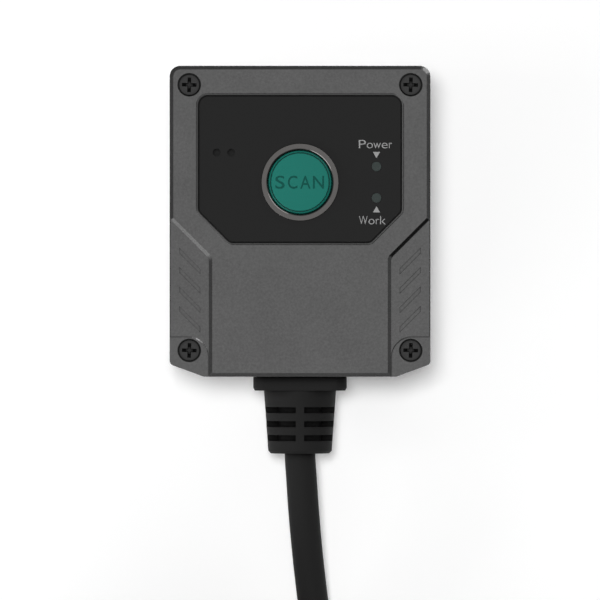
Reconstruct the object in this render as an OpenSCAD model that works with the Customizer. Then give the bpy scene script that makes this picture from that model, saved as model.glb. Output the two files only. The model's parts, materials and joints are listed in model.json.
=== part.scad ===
// Fixed barcode reader: a two-part housing with a scan button, a reading window and a data cable.
// It lies on its base with the button face up. The window looks along +Y and the cable leaves along -Y.
// All sizes are in millimetres.

/* [Housing] */
// Width across the button face
body_w = 52; // [50:0.5:60]
// Length from the cable end to the window end
body_l = 62; // [60:0.5:72]
// Height over the base
body_h = 28; // [27.5:0.5:32]
// Thickness of the side walls
wall = 2.2; // [2:0.1:2.5]
// Thickness of the floor
floor_t = 2.2; // [1.8:0.1:2.6]
// Thickness of the cover's top plate
cover_t = 3; // [2.8:0.1:3.4]
// Height of the joint between base and cover
split_z = 20; // [19.5:0.1:20.5]
// Radius of the upright corners at the window end
corner_r = 2.1; // [1:0.1:3]
// Width of the bevel round the cover's top edge
edge_bevel = 0.75; // [0.4:0.05:1]
// Height of that bevel
edge_drop = 0.55; // [0.4:0.05:1]
// Sideways size of the cut corners at the cable end
tail_cut_x = 6.8; // [4:0.1:8]
// Lengthways size of the cut corners at the cable end
tail_cut_y = 2.5; // [1.5:0.1:3]

/* [Cover relief] */
// Width of the raised middle between the wings
ridge_w = 35; // [33:0.5:36]
// Distance from the cable end to the point where the raised middle widens
ridge_l = 23.9; // [22:0.1:26]
// Depth of the wings below the raised middle
wing_drop = 0.4; // [0.3:0.05:1.3]
// Width in plan of the slope down to a wing
wing_slope = 0.68; // [0.3:0.02:1]
// Depth of the screw pockets below the wings
pocket_drop = 0.2; // [0.1:0.05:0.5]
// Width in plan of the slope at the pockets' upper edge
pocket_slope = 0.3; // [0.1:0.05:0.5]
// Distance from the cable end to the pockets' upper edge
pocket_l = 8.1; // [7.6:0.1:9]
// Radius of a pocket's inner corner
pocket_r = 4.15; // [2:0.05:5]
// Number of grip slots in each wing
slot_count = 4; // [1:1:4]
// Distance between neighbouring slots
slot_pitch = 3.87; // [2.5:0.01:4]
// Width of a slot, measured along the wing
slot_w = 1.15; // [0.6:0.05:1.6]
// Depth of a slot
slot_depth = 0.1; // [0.1:0.05:0.4]

/* [Screws] */
// Distance from the sides to the cover screws
screw_side = 3.92; // [3.6:0.02:4.4]
// Distance from the window end to the front cover screws
screw_front = 3.8; // [3.6:0.05:4.4]
// Distance from the cable end to the rear cover screws
screw_rear = 5.25; // [5:0.05:6]
// Diameter of a screw head
head_d = 4.3; // [3.4:0.1:4.4]
// Height of a screw head
head_h = 1.6; // [1.2:0.1:1.8]
// Diameter of a screw's thread
shank_d = 2.5; // [2:0.1:3]
// Length of a screw under its head
screw_l = 9; // [7:0.5:10]
// Diameter of the well round a screw head
well_d = 4.7; // [4.6:0.1:5.2]

/* [Control panel] */
// Width of the panel recess
panel_w = 41.45; // [40:0.05:42]
// Length of the panel recess
panel_l = 30.3; // [29:0.1:32]
// Distance from the window end to the panel recess
panel_front = 5.45; // [5:0.05:7]
// Size of the panel's cut lower corners
panel_cut = 6.5; // [3:0.1:8]
// Depth of the panel recess
panel_drop = 0.5; // [0.5:0.05:0.9]
// Width in plan of the recess's sloping edge
panel_slope = 0.65; // [0.1:0.05:0.8]
// Thickness of the panel sheet
panel_t = 0.2; // [0.1:0.05:0.4]
// Distance from the panel's lower edge to the button's centre
button_up = 12.54; // [11:0.02:14]
// Diameter of the button
button_d = 12.6; // [11.5:0.1:13]
// Gap between button and bezel
button_gap = 0.35; // [0.3:0.05:0.4]
// Outer diameter of the bezel
bezel_d = 15.4; // [15.2:0.1:16.5]
// Height of the button over the cover's top face
button_rise = 0.4; // [0.2:0.1:1]
// Travel of the button
button_travel = 0.8; // [0.5:0.1:0.9]
// Distance from the centre line to the indicator windows
pipe_x = 15.25; // [13.5:0.05:16]
// Distance between the two indicator windows
pipe_pitch = 6.26; // [4.5:0.02:8]
// Diameter of an indicator window
pipe_d = 1.9; // [1.5:0.1:2.4]
// Distance from the centre line to the middle of the sound holes
sound_x = 15.15; // [14:0.05:15.5]
// Distance between the two sound holes
sound_pitch = 2.9; // [2:0.1:4]
// Diameter of a sound hole
sound_d = 1.55; // [1:0.05:2]

/* [Reading end] */
// Height of the optical axis and of the cable's axis
axis_z = 10.3; // [10:0.1:10.6]
// Width of the reading window
window_w = 38; // [34:0.5:40]
// Height of the reading window
window_h = 14.6; // [12:0.1:15]
// Thickness of the reading window
window_t = 1.2; // [0.8:0.1:1.4]

/* [Mounting] */
// Distance between the mounting threads across the base
mount_w = 30; // [26:0.5:32]
// Distance between the mounting threads along the base
mount_l = 24; // [20:0.5:25]
// Bore of a mounting thread
mount_bore = 2.5; // [2:0.1:3]

/* [Cable] */
// Diameter of the cable
cable_d = 6.2; // [5.5:0.1:6.4]
// Width of the strain relief's flange
flange_w = 18.8; // [17:0.1:20]
// Height of the strain relief's flange
flange_h = 15.4; // [15:0.1:16]
// Thickness of the strain relief's flange with the gap behind it
flange_t = 2.9; // [2:0.1:3.2]
// Length of the boot
boot_l = 12.7; // [12:0.1:16]
// Diameter of the boot at the flange
boot_d = 14.6; // [13:0.1:15]
// Diameter of the boot at its tip
boot_tip_d = 12.8; // [11:0.1:13]
// Radius of the coil at the middle of its turns
coil_r = 31; // [30:0.5:34]
// Radial spread of the turns, from the innermost centre line to the outermost
coil_band = 10; // [8:0.5:12]
// Layers of turns in the coil
coil_layers = 4; // [3:1:4]

/* [Hidden] */
$fn = 48;
// Clearance between pieces that fit together
fit = 0.05;
// Thickness of the thin slices that a hull joins
sliver = 0.02;
// A reach well outside the housing
far = 60;
// Flat steps in a rounded corner
arc_steps = 8;

// Levels
ceiling_z = body_h - cover_t;
plate_z = body_h - panel_drop;
panel_z = plate_z + panel_t;
wing_z = body_h - wing_drop;
pocket_z = wing_z - pocket_drop;
base_bevel = 0.6;

// Cover screws
screw_x = body_w / 2 - screw_side;
front_y = body_l / 2 - screw_front;
rear_y = -body_l / 2 + screw_rear;
head_sink = 0.25;
front_seat = body_h - head_sink - head_h;
rear_seat = pocket_z - head_sink - head_h;
column_d = 6.4;
screws = [
    [-screw_x, front_y, front_seat],
    [screw_x, front_y, front_seat],
    [-screw_x, rear_y, rear_seat],
    [screw_x, rear_y, rear_seat],
];
screw_turn = -2;

// Control panel and button
panel_y1 = body_l / 2 - panel_front;
panel_y0 = panel_y1 - panel_l;
button_y = panel_y0 + button_up;
bezel_bore = button_d + 2 * button_gap;
bezel_tube_d = bezel_bore + 1;
bezel_rise = 0.2;
button_top = body_h + button_rise;
lip_h = 0.9;
lip_d = bezel_tube_d - 0.1;
lip_top = ceiling_z - 1.2;
lip_z = lip_top - lip_h;
pipes = [[pipe_x, button_y + pipe_pitch / 2], [pipe_x, button_y - pipe_pitch / 2]];
sound_y = button_y + 5.9;

// Main board
board_top = split_z - 0.8;
board_t = 1.6;
board_z = board_top - board_t;
board_w = body_w - 2 * wall - 1.6;
board_y1 = front_y - column_d / 2 - 0.8;
board_y0 = rear_y + column_d / 2 + 0.8;
post_in = 2.8;
posts = [
    for (x = [-1, 1], y = [board_y0 + post_in, board_y1 - post_in]) [x * (board_w / 2 - post_in), y]
];
small_shank_d = 2;
small_head_d = 3.6;
small_head_h = 1;
board_screw_l = 6;
switch_w = 6.2;
plunger_d = 3.4;
plunger_z = lip_z + 0.4;
plunger_room = 0.3;
switch_h = plunger_z - board_top - button_travel - plunger_room;
buzzer_d = 9;
buzzer_room = 1.6;
buzzer_h = ceiling_z - board_top - buzzer_room;
buzzer_port_d = 2;
led_w = 1.6;
led_h = 0.6;
processor_w = 12;
processor_t = 1;
memory_w = 10;
memory_l = 7;
memory_t = 0.9;
chip_x = 14;
processor_y = 6;
memory_y = 8;

// Reading engine
inner_y1 = body_l / 2 - wall;
pane_y1 = body_l / 2 - 0.1;
pane_y0 = pane_y1 - window_t;
gasket_t = 0.3;
window_rim = 1.8;
window_r = 2;
engine_y1 = inner_y1 - 1.6;
engine_l = 13;
engine_y0 = engine_y1 - engine_l;
engine_w = 31;
engine_h = 12;
engine_z = axis_z - engine_h / 2;
engine_screws_at = [[-13.6, engine_y0 + 2.8], [13.6, engine_y0 + 2.8]];
barrel_d = 8;
lamp_x = 10.6;
lamp_d = 6.6;
lamp_led_w = 3.5;
lamp_led_t = 0.8;
lamp_bulge = 4.6;
aimer_x = 5.7;
aimer_d = 2.9;
aimer_bulge = 2.4;
well_y = engine_y1 - 5;
sensor_board_t = 1.2;
ribbon_t = 0.2;
ribbon_w = 8;

// Mounting threads
boss_room = 6.2;
mount_y = engine_y0 - boss_room - mount_l / 2;
insert_d = 4.2;
insert_l = 5;
inserts = [
    for (x = [-1, 1], y = [-1, 1]) [x * mount_w / 2, mount_y + y * mount_l / 2]
];

// Strain relief
cable_r = cable_d / 2;
neck_d = 12;
flange_gap = 0.25;
flange_r = 2.5;
flange_bevel = 0.6;
flange_y = -body_l / 2 - flange_t;
exit_y = flange_y - boot_l;
groove_start = 3.35;
groove_pitch = 2.81;
groove_w = 1.2;
groove_floor_d = 8.8;
rib_w = 1.7;
inner_y0 = -inner_y1;
jacket_y = inner_y0 + 2.8;

// Cable on the ground: the lead, the tied coil and the tail that ends in the plug
strap_t = 0.5;
strap_w = 10;
layer_rise = cable_d + 0.1;
coil_out = coil_r + coil_band / 2;
coil_in = coil_r - coil_band / 2;
lead_z = strap_t + cable_r;
top_layer_z = lead_z + (coil_layers - 1) * layer_rise;
coil_top = top_layer_z + cable_r;
// Each point: sideways, lengthways from the boot's tip, and the share of the drop still to come
lead_points = [
    [0, 20, 1], [0, 10, 1], [0, 0, 1], [0.3, -5, 0.99], [0.7, -11, 0.93],
    [1.2, -17, 0.79], [1.8, -23, 0.58], [2.5, -29, 0.36], [3.2, -35, 0.18], [3.9, -42, 0.07],
    [4.5, -50, 0.01], [4.9, -60, 0], [5, -70.2, 0],
];
lead_route = [
    for (p = lead_points)
        [p.x, p.y > 5 ? min(exit_y + p.y, jacket_y) : exit_y + p.y, lead_z + p.z * (axis_z - lead_z)]
];
lead_end = lead_route[len(lead_route) - 1];
coil_at = [lead_end.x - coil_out, lead_end.y, 0];
// Each point: from the coil's centre, and the height over the top layer's centre line
tail_points = [
    [30.3, -17.5, 0], [26.5, -22.5, 1.6], [21.5, -26.3, 4.2], [15.7, -28.7, 6],
    [9.5, -29.5, 6.2], [3.3, -28.7, 6.2], [-2.4, -26.7, 6.7], [-7.07, -23.3, 7], [-9, -21, 7],
];
tail_scale = coil_out / 35;
tail_lift = cable_d / 6;
tail_route = [
    for (p = tail_points) coil_at + [p.x * tail_scale, p.y * tail_scale, top_layer_z + p.z * tail_lift]
];
strap_angles = [55, 130];

// Plug
plug_at = tail_route[len(tail_route) - 1];
plug_turn = 130;
cone_l = 9;
grip_l = 22;
grip_w = 15.6;
grip_h = 8;
shell_l = 12;
shell_w = 12;
shell_h = 4.5;
shell_t = 0.3;

// Outlines are convex and run counter-clockwise.
function inward(a, b) = let (v = b - a) [-v.y, v.x] / norm(v);

function corner(pts, i, d) =
    let (
        n = len(pts),
        u = inward(pts[(i + n - 1) % n], pts[i]),
        v = inward(pts[i], pts[(i + 1) % n])
    )
    pts[i] + d * (u + v) / (1 + u * v);

// Every side of an outline moved inwards by d
function shifted(pts, d) = [for (i = [0 : len(pts) - 1]) corner(pts, i, d)];

// The outline with its corners rounded, one radius for each
function rounded(pts, radii) =
    let (n = len(pts))
    [
        for (i = [0 : n - 1])
            let (
                r = radii[i],
                u = inward(pts[(i + n - 1) % n], pts[i]),
                v = inward(pts[i], pts[(i + 1) % n]),
                c = corner(pts, i, r),
                start = atan2(-u.y, -u.x),
                turn = acos(u * v)
            )
            each r > 0
                ? [
                    for (k = [0 : arc_steps])
                        c + r * [cos(start + turn * k / arc_steps), sin(start + turn * k / arc_steps)]
                ]
                : [pts[i]]
    ];

function mirrored(pts) = [for (i = [len(pts) - 1 : -1 : 0]) [-pts[i].x, pts[i].y]];

// The left-hand outline for side -1, its mirror image for side 1
function on_side(pts, side) = side < 0 ? pts : mirrored(pts);

function rectangle(w, h, at = [0, 0]) = [
    at + [-w, -h] / 2, at + [w, -h] / 2, at + [w, h] / 2, at + [-w, h] / 2
];

function round_rectangle(w, h, r, at = [0, 0]) = rounded(rectangle(w, h, at), [r, r, r, r]);

// The housing's outline, drawn in by d
function body_outline(d = 0) =
    let (
        w = body_w / 2,
        l = body_l / 2,
        tail_r = max(1 - d / 2, 0.2),
        head_r = max(corner_r - d, 0.2)
    )
    rounded(
        shifted(
            [
                [-w + tail_cut_x, -l], [w - tail_cut_x, -l], [w, -l + tail_cut_y],
                [w, l], [-w, l], [-w, -l + tail_cut_y]
            ],
            d
        ),
        [tail_r, tail_r, tail_r, head_r, head_r, tail_r]
    );

// The panel recess's outline, drawn in by d
function panel_outline(d = 0) =
    let (w = panel_w / 2, low_r = 2 - d, high_r = 2.4 - d)
    rounded(
        shifted(
            [
                [-w + panel_cut, panel_y0], [w - panel_cut, panel_y0], [w, panel_y0 + panel_cut],
                [w, panel_y1], [-w, panel_y1], [-w, panel_y0 + panel_cut]
            ],
            d
        ),
        [low_r, low_r, low_r, high_r, high_r, low_r]
    );

// The left wing's outline, drawn in by d and open to the outside
function wing_outline(d = 0) =
    let (x = ridge_w / 2, y = ridge_l - body_l / 2)
    rounded(shifted([[-x, -far], [-x, y], [-far, y + far - x], [-far, -far]], d), [0, 1.6, 0, 0]);

// A straight or tapering solid between two levels
module prism(pts, z0, z1) {
    translate([0, 0, z0])
        linear_extrude(z1 - z0)
            polygon(pts);
}

module taper(low, high, z0, z1) {
    hull() {
        prism(low, z0, z0 + sliver);
        prism(high, z1 - sliver, z1);
    }
}

// A solid between two places along Y, with its outline drawn in X and Z
module wall_prism(pts, y0, y1) {
    translate([0, y1, 0])
        rotate([90, 0, 0])
            linear_extrude(y1 - y0)
                polygon(pts);
}

// A round bar along Y from y0 up to y1
module bar_y(x, z, d, y0, y1) {
    translate([x, y1, z])
        rotate([90, 0, 0])
            cylinder(d = d, h = y1 - y0);
}

module block(x, y, z) {
    translate([x[0], y[0], z[0]])
        cube([x[1] - x[0], y[1] - y[0], z[1] - z[0]]);
}

// A screw with its seat at the origin and a cross recess in its head
module screw(head, height, shank, length) {
    difference() {
        union() {
            cylinder(d = head, h = height * 0.75);
            translate([0, 0, height * 0.75])
                cylinder(d1 = head, d2 = head * 0.86, h = height * 0.25);
            translate([0, 0, -length])
                cylinder(d = shank, h = length + height / 4);
        }
        for (a = [0, 90])
            rotate([0, 0, a + screw_turn])
                translate([0, 0, height])
                    cube([head * 0.68, head * 0.17, height * 1.1], center = true);
    }
}

// A tube along a route that is never upright
function unit(v) = v / norm(v);

function ring(route, i, r, sides) =
    let (
        last = len(route) - 1,
        t = unit(route[min(i + 1, last)] - route[max(i - 1, 0)]),
        s = unit(cross(t, [0, 0, 1])),
        u = cross(s, t)
    )
    [for (k = [0 : sides - 1]) route[i] + r * (cos(360 * k / sides) * s + sin(360 * k / sides) * u)];

module tube(route, r, sides) {
    last = len(route) - 1;
    points = [for (i = [0 : last]) each ring(route, i, r, sides)];
    skin = [
        for (i = [0 : last - 1], k = [0 : sides - 1])
            let (a = i * sides + k, b = i * sides + (k + 1) % sides)
            each [[a, a + sides, b], [b, a + sides, b + sides]]
    ];
    caps = [
        [for (k = [0 : sides - 1]) k],
        [for (k = [sides - 1 : -1 : 0]) last * sides + k],
    ];
    polyhedron(points, concat(skin, caps));
}

// Housing
module joint_groove() {
    difference() {
        prism(body_outline(-2), split_z, split_z + 0.3);
        prism(body_outline(0.25), split_z - 1, split_z + 1);
    }
}

module wing_cut(side) {
    over = 0.2;
    taper(
        on_side(wing_outline(wing_slope), side),
        on_side(wing_outline(-wing_slope * over / wing_drop), side),
        wing_z,
        body_h + over
    );
}

// The left screw pocket's outline, with its upper edge moved up by d
function pocket_outline(d = 0) =
    let (x = ridge_w / 2 + wing_slope, y = pocket_l - body_l / 2 + d)
    rounded([[-x, -far], [-x, y], [-far, y], [-far, -far]], [0, pocket_r, 0, 0]);

module pocket_cut(side) {
    over = 0.2;
    taper(
        on_side(pocket_outline(-pocket_slope), side),
        on_side(pocket_outline(pocket_slope * over / pocket_drop), side),
        pocket_z,
        wing_z + over
    );
}

module slot_cuts(side) {
    run = 4.16;
    x = -body_w / 2 + 1.96;
    for (i = [0 : slot_count - 1]) {
        y = ridge_l - body_l / 2 + 1.26 - i * slot_pitch;
        pts = [
            [x, y - slot_w / 2], [x + run, y - run - slot_w / 2],
            [x + run, y - run + slot_w / 2], [x, y + slot_w / 2]
        ];
        prism(on_side(pts, side), wing_z - slot_depth, wing_z + 0.3);
    }
}

module panel_cut_out() {
    over = 0.2;
    taper(
        panel_outline(panel_slope),
        panel_outline(-panel_slope * over / panel_drop),
        plate_z,
        body_h + over
    );
}

module cover_shell() {
    difference() {
        hull() {
            prism(body_outline(), split_z, body_h - edge_drop);
            prism(body_outline(edge_bevel), body_h - sliver, body_h);
        }
        prism(body_outline(wall), split_z - 1, ceiling_z);
    }
}

module top_cover() {
    color("DimGray")
        difference() {
            union() {
                cover_shell();
                for (s = screws)
                    translate([s.x, s.y, split_z])
                        cylinder(d = column_d, h = ceiling_z - split_z + 0.5);
            }
            for (side = [-1, 1]) {
                wing_cut(side);
                pocket_cut(side);
                slot_cuts(side);
            }
            panel_cut_out();
            for (s = screws) {
                translate(s)
                    cylinder(d = well_d, h = far);
                translate([s.x, s.y, split_z - 1])
                    cylinder(d = shank_d + 0.4, h = far);
            }
            translate([0, button_y, split_z])
                cylinder(d = bezel_tube_d + 2 * fit, h = far);
            for (p = pipes)
                translate([p.x, p.y, split_z])
                    cylinder(d = pipe_d + 2 * fit, h = far);
            for (i = [-1, 1])
                translate([-sound_x + i * sound_pitch / 2, sound_y, split_z])
                    cylinder(d = sound_d, h = far);
            joint_groove();
        }
}

gasket_in = wall / 2 - 0.5;
gasket_out = wall / 2 + 0.5;
gasket_deep = 0.9;

module base_shell() {
    difference() {
        hull() {
            prism(body_outline(base_bevel), 0, sliver);
            prism(body_outline(), base_bevel, split_z);
        }
        prism(body_outline(wall), floor_t, split_z + 1);
    }
}

module base_case() {
    color("DimGray")
        difference() {
            union() {
                base_shell();
                for (s = screws)
                    translate([s.x, s.y, floor_t - 0.5])
                        cylinder(d = column_d, h = split_z - floor_t + 0.5);
                for (p = posts)
                    translate([p.x, p.y, floor_t - 0.5])
                        cylinder(d = 5, h = board_z - floor_t + 0.5);
                for (p = engine_screws_at)
                    translate([p.x, p.y, floor_t - 0.5])
                        cylinder(d = 5.4, h = engine_z - floor_t + 0.5);
                for (p = inserts)
                    translate([p.x, p.y, floor_t - 0.5])
                        cylinder(d = 7, h = insert_l + 1.6 - floor_t + 0.5);
            }
            for (s = screws)
                translate([s.x, s.y, rear_seat - screw_l - 0.6])
                    cylinder(d = shank_d + 2 * fit, h = far);
            for (p = posts)
                translate([p.x, p.y, board_z - board_screw_l])
                    cylinder(d = small_shank_d + 2 * fit, h = far);
            for (p = engine_screws_at)
                translate([p.x, p.y, floor_t - 1])
                    cylinder(d = small_shank_d + 2 * fit, h = far);
            for (p = inserts)
                translate([p.x, p.y, -1])
                    cylinder(d = insert_d + 2 * fit, h = insert_l + 1.2);
            wall_prism(
                round_rectangle(window_w, window_h, window_r, [0, axis_z]),
                pane_y0 - gasket_t,
                body_l / 2 + 1
            );
            wall_prism(
                round_rectangle(window_w - 2 * window_rim, window_h - 2 * window_rim, 1, [0, axis_z]),
                inner_y1 - 1,
                body_l / 2
            );
            bar_y(0, axis_z, neck_d + 2 * fit, -body_l / 2 - 1, inner_y0 + 1);
            difference() {
                prism(body_outline(gasket_in), split_z - gasket_deep, split_z + 1);
                prism(body_outline(gasket_out), split_z - 2, split_z + 2);
            }
        }
}

module case_gasket() {
    color("Black")
        difference() {
            prism(body_outline(gasket_in + fit), split_z - gasket_deep, split_z);
            prism(body_outline(gasket_out - fit), split_z - 2, split_z + 2);
        }
}

module cover_screws() {
    color("Gray")
        for (s = screws)
            translate(s)
                screw(head_d, head_h, shank_d, screw_l);
}

module mount_inserts() {
    color("Gold")
        for (p = inserts)
            translate([p.x, p.y, 0])
                difference() {
                    cylinder(d = insert_d, h = insert_l);
                    translate([0, 0, -1])
                        cylinder(d = mount_bore, h = insert_l + 2);
                }
}

// Control panel
module panel_overlay() {
    color("Black")
        difference() {
            prism(panel_outline(panel_slope + fit), plate_z, panel_z);
            translate([0, button_y, plate_z - 1])
                cylinder(d = bezel_d + 2 * fit, h = 3);
            for (p = pipes)
                translate([p.x, p.y, plate_z - 1])
                    cylinder(d = pipe_d + 2 * fit, h = 3);
            for (i = [-1, 1])
                translate([-sound_x + i * sound_pitch / 2, sound_y, plate_z - 1])
                    cylinder(d = sound_d, h = 3);
        }
}

module button_bezel() {
    top = body_h + bezel_rise;
    color("Silver")
        translate([0, button_y, 0])
            rotate_extrude()
                polygon([
                    [bezel_bore / 2, lip_top + fit],
                    [bezel_tube_d / 2, lip_top + fit],
                    [bezel_tube_d / 2, plate_z],
                    [bezel_d / 2, plate_z],
                    [bezel_d / 2, top - 0.35],
                    [bezel_d / 2 - 0.35, top],
                    [bezel_bore / 2 + 0.3, top],
                    [bezel_bore / 2, top - 0.3],
                ]);
}

module scan_button() {
    r = button_d / 2;
    crown = 0.25;
    step_r = r * 0.89;
    hollow_r = r - 1;
    color("Teal")
        translate([0, button_y, 0])
            rotate_extrude()
                polygon([
                    [0, plunger_z],
                    [1.5, plunger_z],
                    [1.5, button_top - 1.5],
                    [hollow_r, button_top - 1.5],
                    [hollow_r, lip_z],
                    [lip_d / 2, lip_z],
                    [lip_d / 2, lip_top],
                    [r, lip_top],
                    [r, button_top - crown - 0.4],
                    [r - 0.3, button_top - crown - 0.1],
                    [step_r + 0.15, button_top - crown - 0.1],
                    [step_r, button_top - crown - 0.25],
                    [step_r - 0.2, button_top - crown],
                    [step_r * 0.7, button_top - crown * 0.4],
                    [step_r * 0.35, button_top - crown * 0.1],
                    [0, button_top],
                ]);
}

module switch_plunger() {
    color("Black")
        translate([0, button_y, plunger_z - switch_h])
            cylinder(d = plunger_d, h = switch_h);
}

module switch_body() {
    color("DarkSlateGray")
        difference() {
            translate([-switch_w / 2, button_y - switch_w / 2, board_top])
                cube([switch_w, switch_w, switch_h]);
            translate([0, button_y, board_top - 1])
                cylinder(d = plunger_d + 0.3, h = switch_h + 2);
        }
}

// A light coil spring between the board and the button's lip
spring_wire = 0.5;
spring_turns = 2.5;
spring_r = (button_d / 2 - 1 + lip_d / 2) / 2;

module button_spring() {
    steps = 48;
    low = board_top + spring_wire / 2;
    high = lip_z - spring_wire / 2;
    route = [
        for (i = [0 : steps])
            let (a = 360 * spring_turns * i / steps)
            [spring_r * cos(a), button_y + spring_r * sin(a), low + (high - low) * i / steps]
    ];
    color("Silver")
        tube(route, spring_wire / 2, 6);
}

module light_pipe(p) {
    color("LightGray")
        translate([p.x, p.y, 0]) {
            translate([0, 0, board_top + led_h + 0.2])
                cylinder(d = pipe_d, h = panel_z - board_top - led_h - 0.2);
            translate([0, 0, ceiling_z - 0.8])
                cylinder(d = pipe_d + 1.5, h = 0.8);
        }
}

module power_light_pipe() {
    light_pipe(pipes[0]);
}

module work_light_pipe() {
    light_pipe(pipes[1]);
}

module indicator_led(p) {
    color("White")
        translate([p.x - led_w / 2, p.y - led_w / 2, board_top])
            cube([led_w, led_w, led_h]);
}

module power_led() {
    indicator_led(pipes[0]);
}

module work_led() {
    indicator_led(pipes[1]);
}

module buzzer() {
    color("Black")
        translate([-sound_x, sound_y, board_top])
            difference() {
                cylinder(d = buzzer_d, h = buzzer_h);
                translate([0, 0, buzzer_h - 1])
                    cylinder(d = buzzer_port_d, h = 2);
            }
}

module sound_membrane() {
    color("White")
        translate([-sound_x, sound_y, ceiling_z - 0.2])
            cylinder(d = sound_pitch + sound_d + 2.4, h = 0.2);
}

// Main board
module main_board() {
    color("DarkGreen")
        difference() {
            block([-board_w / 2, board_w / 2], [board_y0, board_y1], [board_z, board_top]);
            for (p = posts)
                translate([p.x, p.y, board_z - 1])
                    cylinder(d = small_shank_d + 0.3, h = board_t + 2);
        }
}

module board_screws() {
    color("Silver")
        for (p = posts)
            translate([p.x, p.y, board_top])
                screw(small_head_d, small_head_h, small_shank_d, board_screw_l);
}

module processor_chip() {
    color("Black")
        translate([-chip_x, board_y0 + processor_y, board_top])
            cube([processor_w, processor_w, processor_t]);
}

module memory_chip() {
    color("Black")
        translate([chip_x - memory_w, board_y0 + memory_y, board_top])
            cube([memory_w, memory_l, memory_t]);
}

header_y = [board_y0 + 3.5, board_y0 + 8.5];
header_z = [board_z - 4.4, board_z];

module board_header() {
    color("Ivory")
        block([-6, 6], header_y, header_z);
}

module harness_plug() {
    color("White")
        block([-5.4, 5.4], [header_y[0] - 2.5, header_y[0]], [header_z[0] + 0.4, header_z[1] - 0.4]);
}

module harness_wires() {
    colours = ["Red", "White", "Green", "Black"];
    plug_y = header_y[0] - 2.5;
    plug_z = (header_z[0] + header_z[1]) / 2;
    straight = 0.4;
    for (i = [0 : 3]) {
        x0 = (i - 1.5) * 1.25;
        x1 = (i - 1.5) * 2.6;
        bent = [
            for (k = [0 : 6])
                let (t = k / 6, s = t * t * (3 - 2 * t))
                [
                    x0 + (x1 - x0) * s,
                    jacket_y + straight + (plug_y - jacket_y - 2 * straight) * t,
                    axis_z + (plug_z - axis_z) * s
                ]
        ];
        route = concat([[x0, jacket_y, axis_z]], bent, [[x1, plug_y, plug_z]]);
        color(colours[i])
            tube(route, 0.5, 8);
    }
}

ribbon_y = engine_y0 - sensor_board_t - ribbon_t;
socket_y = [ribbon_y - 6.5, ribbon_y - 2.5];
socket_h = 1.2;

module ribbon_socket() {
    color("Ivory")
        block([-ribbon_w / 2 - 1, ribbon_w / 2 + 1], socket_y, [board_z - socket_h, board_z]);
}

module engine_ribbon() {
    top = board_z - socket_h / 2;
    color("Peru")
        union() {
            block([-ribbon_w / 2, ribbon_w / 2], [ribbon_y, ribbon_y + ribbon_t], [axis_z - 2, top]);
            block([-ribbon_w / 2, ribbon_w / 2], [socket_y[1], ribbon_y + ribbon_t], [top - ribbon_t, top]);
        }
}

// Reading engine
module engine_chassis() {
    color("DarkSlateGray")
        difference() {
            block([-engine_w / 2, engine_w / 2], [engine_y0, engine_y1], [engine_z, engine_z + engine_h]);
            bar_y(0, axis_z, barrel_d + 2 * fit, engine_y0 - 1, engine_y1 + 1);
            block([-5, 5], [engine_y0 - 1, engine_y0 + 4], [axis_z - 5, axis_z + 5]);
            for (x = [-lamp_x, lamp_x])
                bar_y(x, axis_z, lamp_d + 2 * fit, well_y, engine_y1 + 1);
            bar_y(aimer_x, axis_z, aimer_d + 2 * fit, well_y, engine_y1 + 1);
            for (p = engine_screws_at)
                translate([p.x, p.y, engine_z - 1])
                    cylinder(d = small_shank_d + 0.2, h = engine_h + 2);
        }
}

module engine_screws() {
    color("Silver")
        for (p = engine_screws_at)
            translate([p.x, p.y, engine_z + engine_h])
                screw(small_head_d, small_head_h, small_shank_d, engine_z + engine_h - floor_t + 0.5);
}

module lens_barrel() {
    color("Black")
        difference() {
            bar_y(0, axis_z, barrel_d, engine_y0 + 4.2, engine_y1 + 0.9);
            bar_y(0, axis_z, 4, engine_y0 + 3, engine_y1);
            bar_y(0, axis_z, 6, engine_y1 - 1.6, engine_y1 + 2);
        }
}

module camera_lens() {
    bulge = 7;
    color("LightSteelBlue")
        intersection() {
            bar_y(0, axis_z, 6 - 2 * fit, engine_y1 - 1.6, engine_y1 + 1);
            translate([0, engine_y1 + 0.4 - bulge, axis_z])
                sphere(r = bulge, $fn = 96);
        }
}

module sensor_board() {
    color("DarkGreen")
        block(
            [-engine_w / 2 + 1, engine_w / 2 - 1],
            [engine_y0 - sensor_board_t, engine_y0],
            [engine_z + 0.3, engine_z + engine_h - 0.3]
        );
}

module image_sensor() {
    color("Black")
        block([-3.2, 3.2], [engine_y0, engine_y0 + 1.2], [axis_z - 3.2, axis_z + 3.2]);
}

module lamp_leds() {
    color("White")
        for (x = [-lamp_x, lamp_x])
            block(
                [x - lamp_led_w / 2, x + lamp_led_w / 2],
                [well_y, well_y + lamp_led_t],
                [axis_z - lamp_led_w / 2, axis_z + lamp_led_w / 2]
            );
}

module lamp_lenses() {
    color("LightSteelBlue")
        for (x = [-lamp_x, lamp_x])
            intersection() {
                bar_y(x, axis_z, lamp_d, well_y + lamp_led_t + 0.6, engine_y1 + 1);
                translate([x, engine_y1 + 0.3 - lamp_bulge, axis_z])
                    sphere(r = lamp_bulge, $fn = 96);
            }
}

module aimer_led() {
    color("White")
        block(
            [aimer_x - led_w / 2, aimer_x + led_w / 2],
            [well_y, well_y + lamp_led_t],
            [axis_z - led_w / 2, axis_z + led_w / 2]
        );
}

module aimer_lens() {
    color("LightSteelBlue")
        intersection() {
            bar_y(aimer_x, axis_z, aimer_d, well_y + lamp_led_t + 0.6, engine_y1 + 1);
            translate([aimer_x, engine_y1 + 0.1 - aimer_bulge, axis_z])
                sphere(r = aimer_bulge, $fn = 96);
        }
}

module reading_window() {
    w = window_w - 2 * fit;
    h = window_h - 2 * fit;
    color("DarkRed")
        wall_prism(round_rectangle(w, h, window_r, [0, axis_z]), pane_y0, pane_y1);
}

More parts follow.
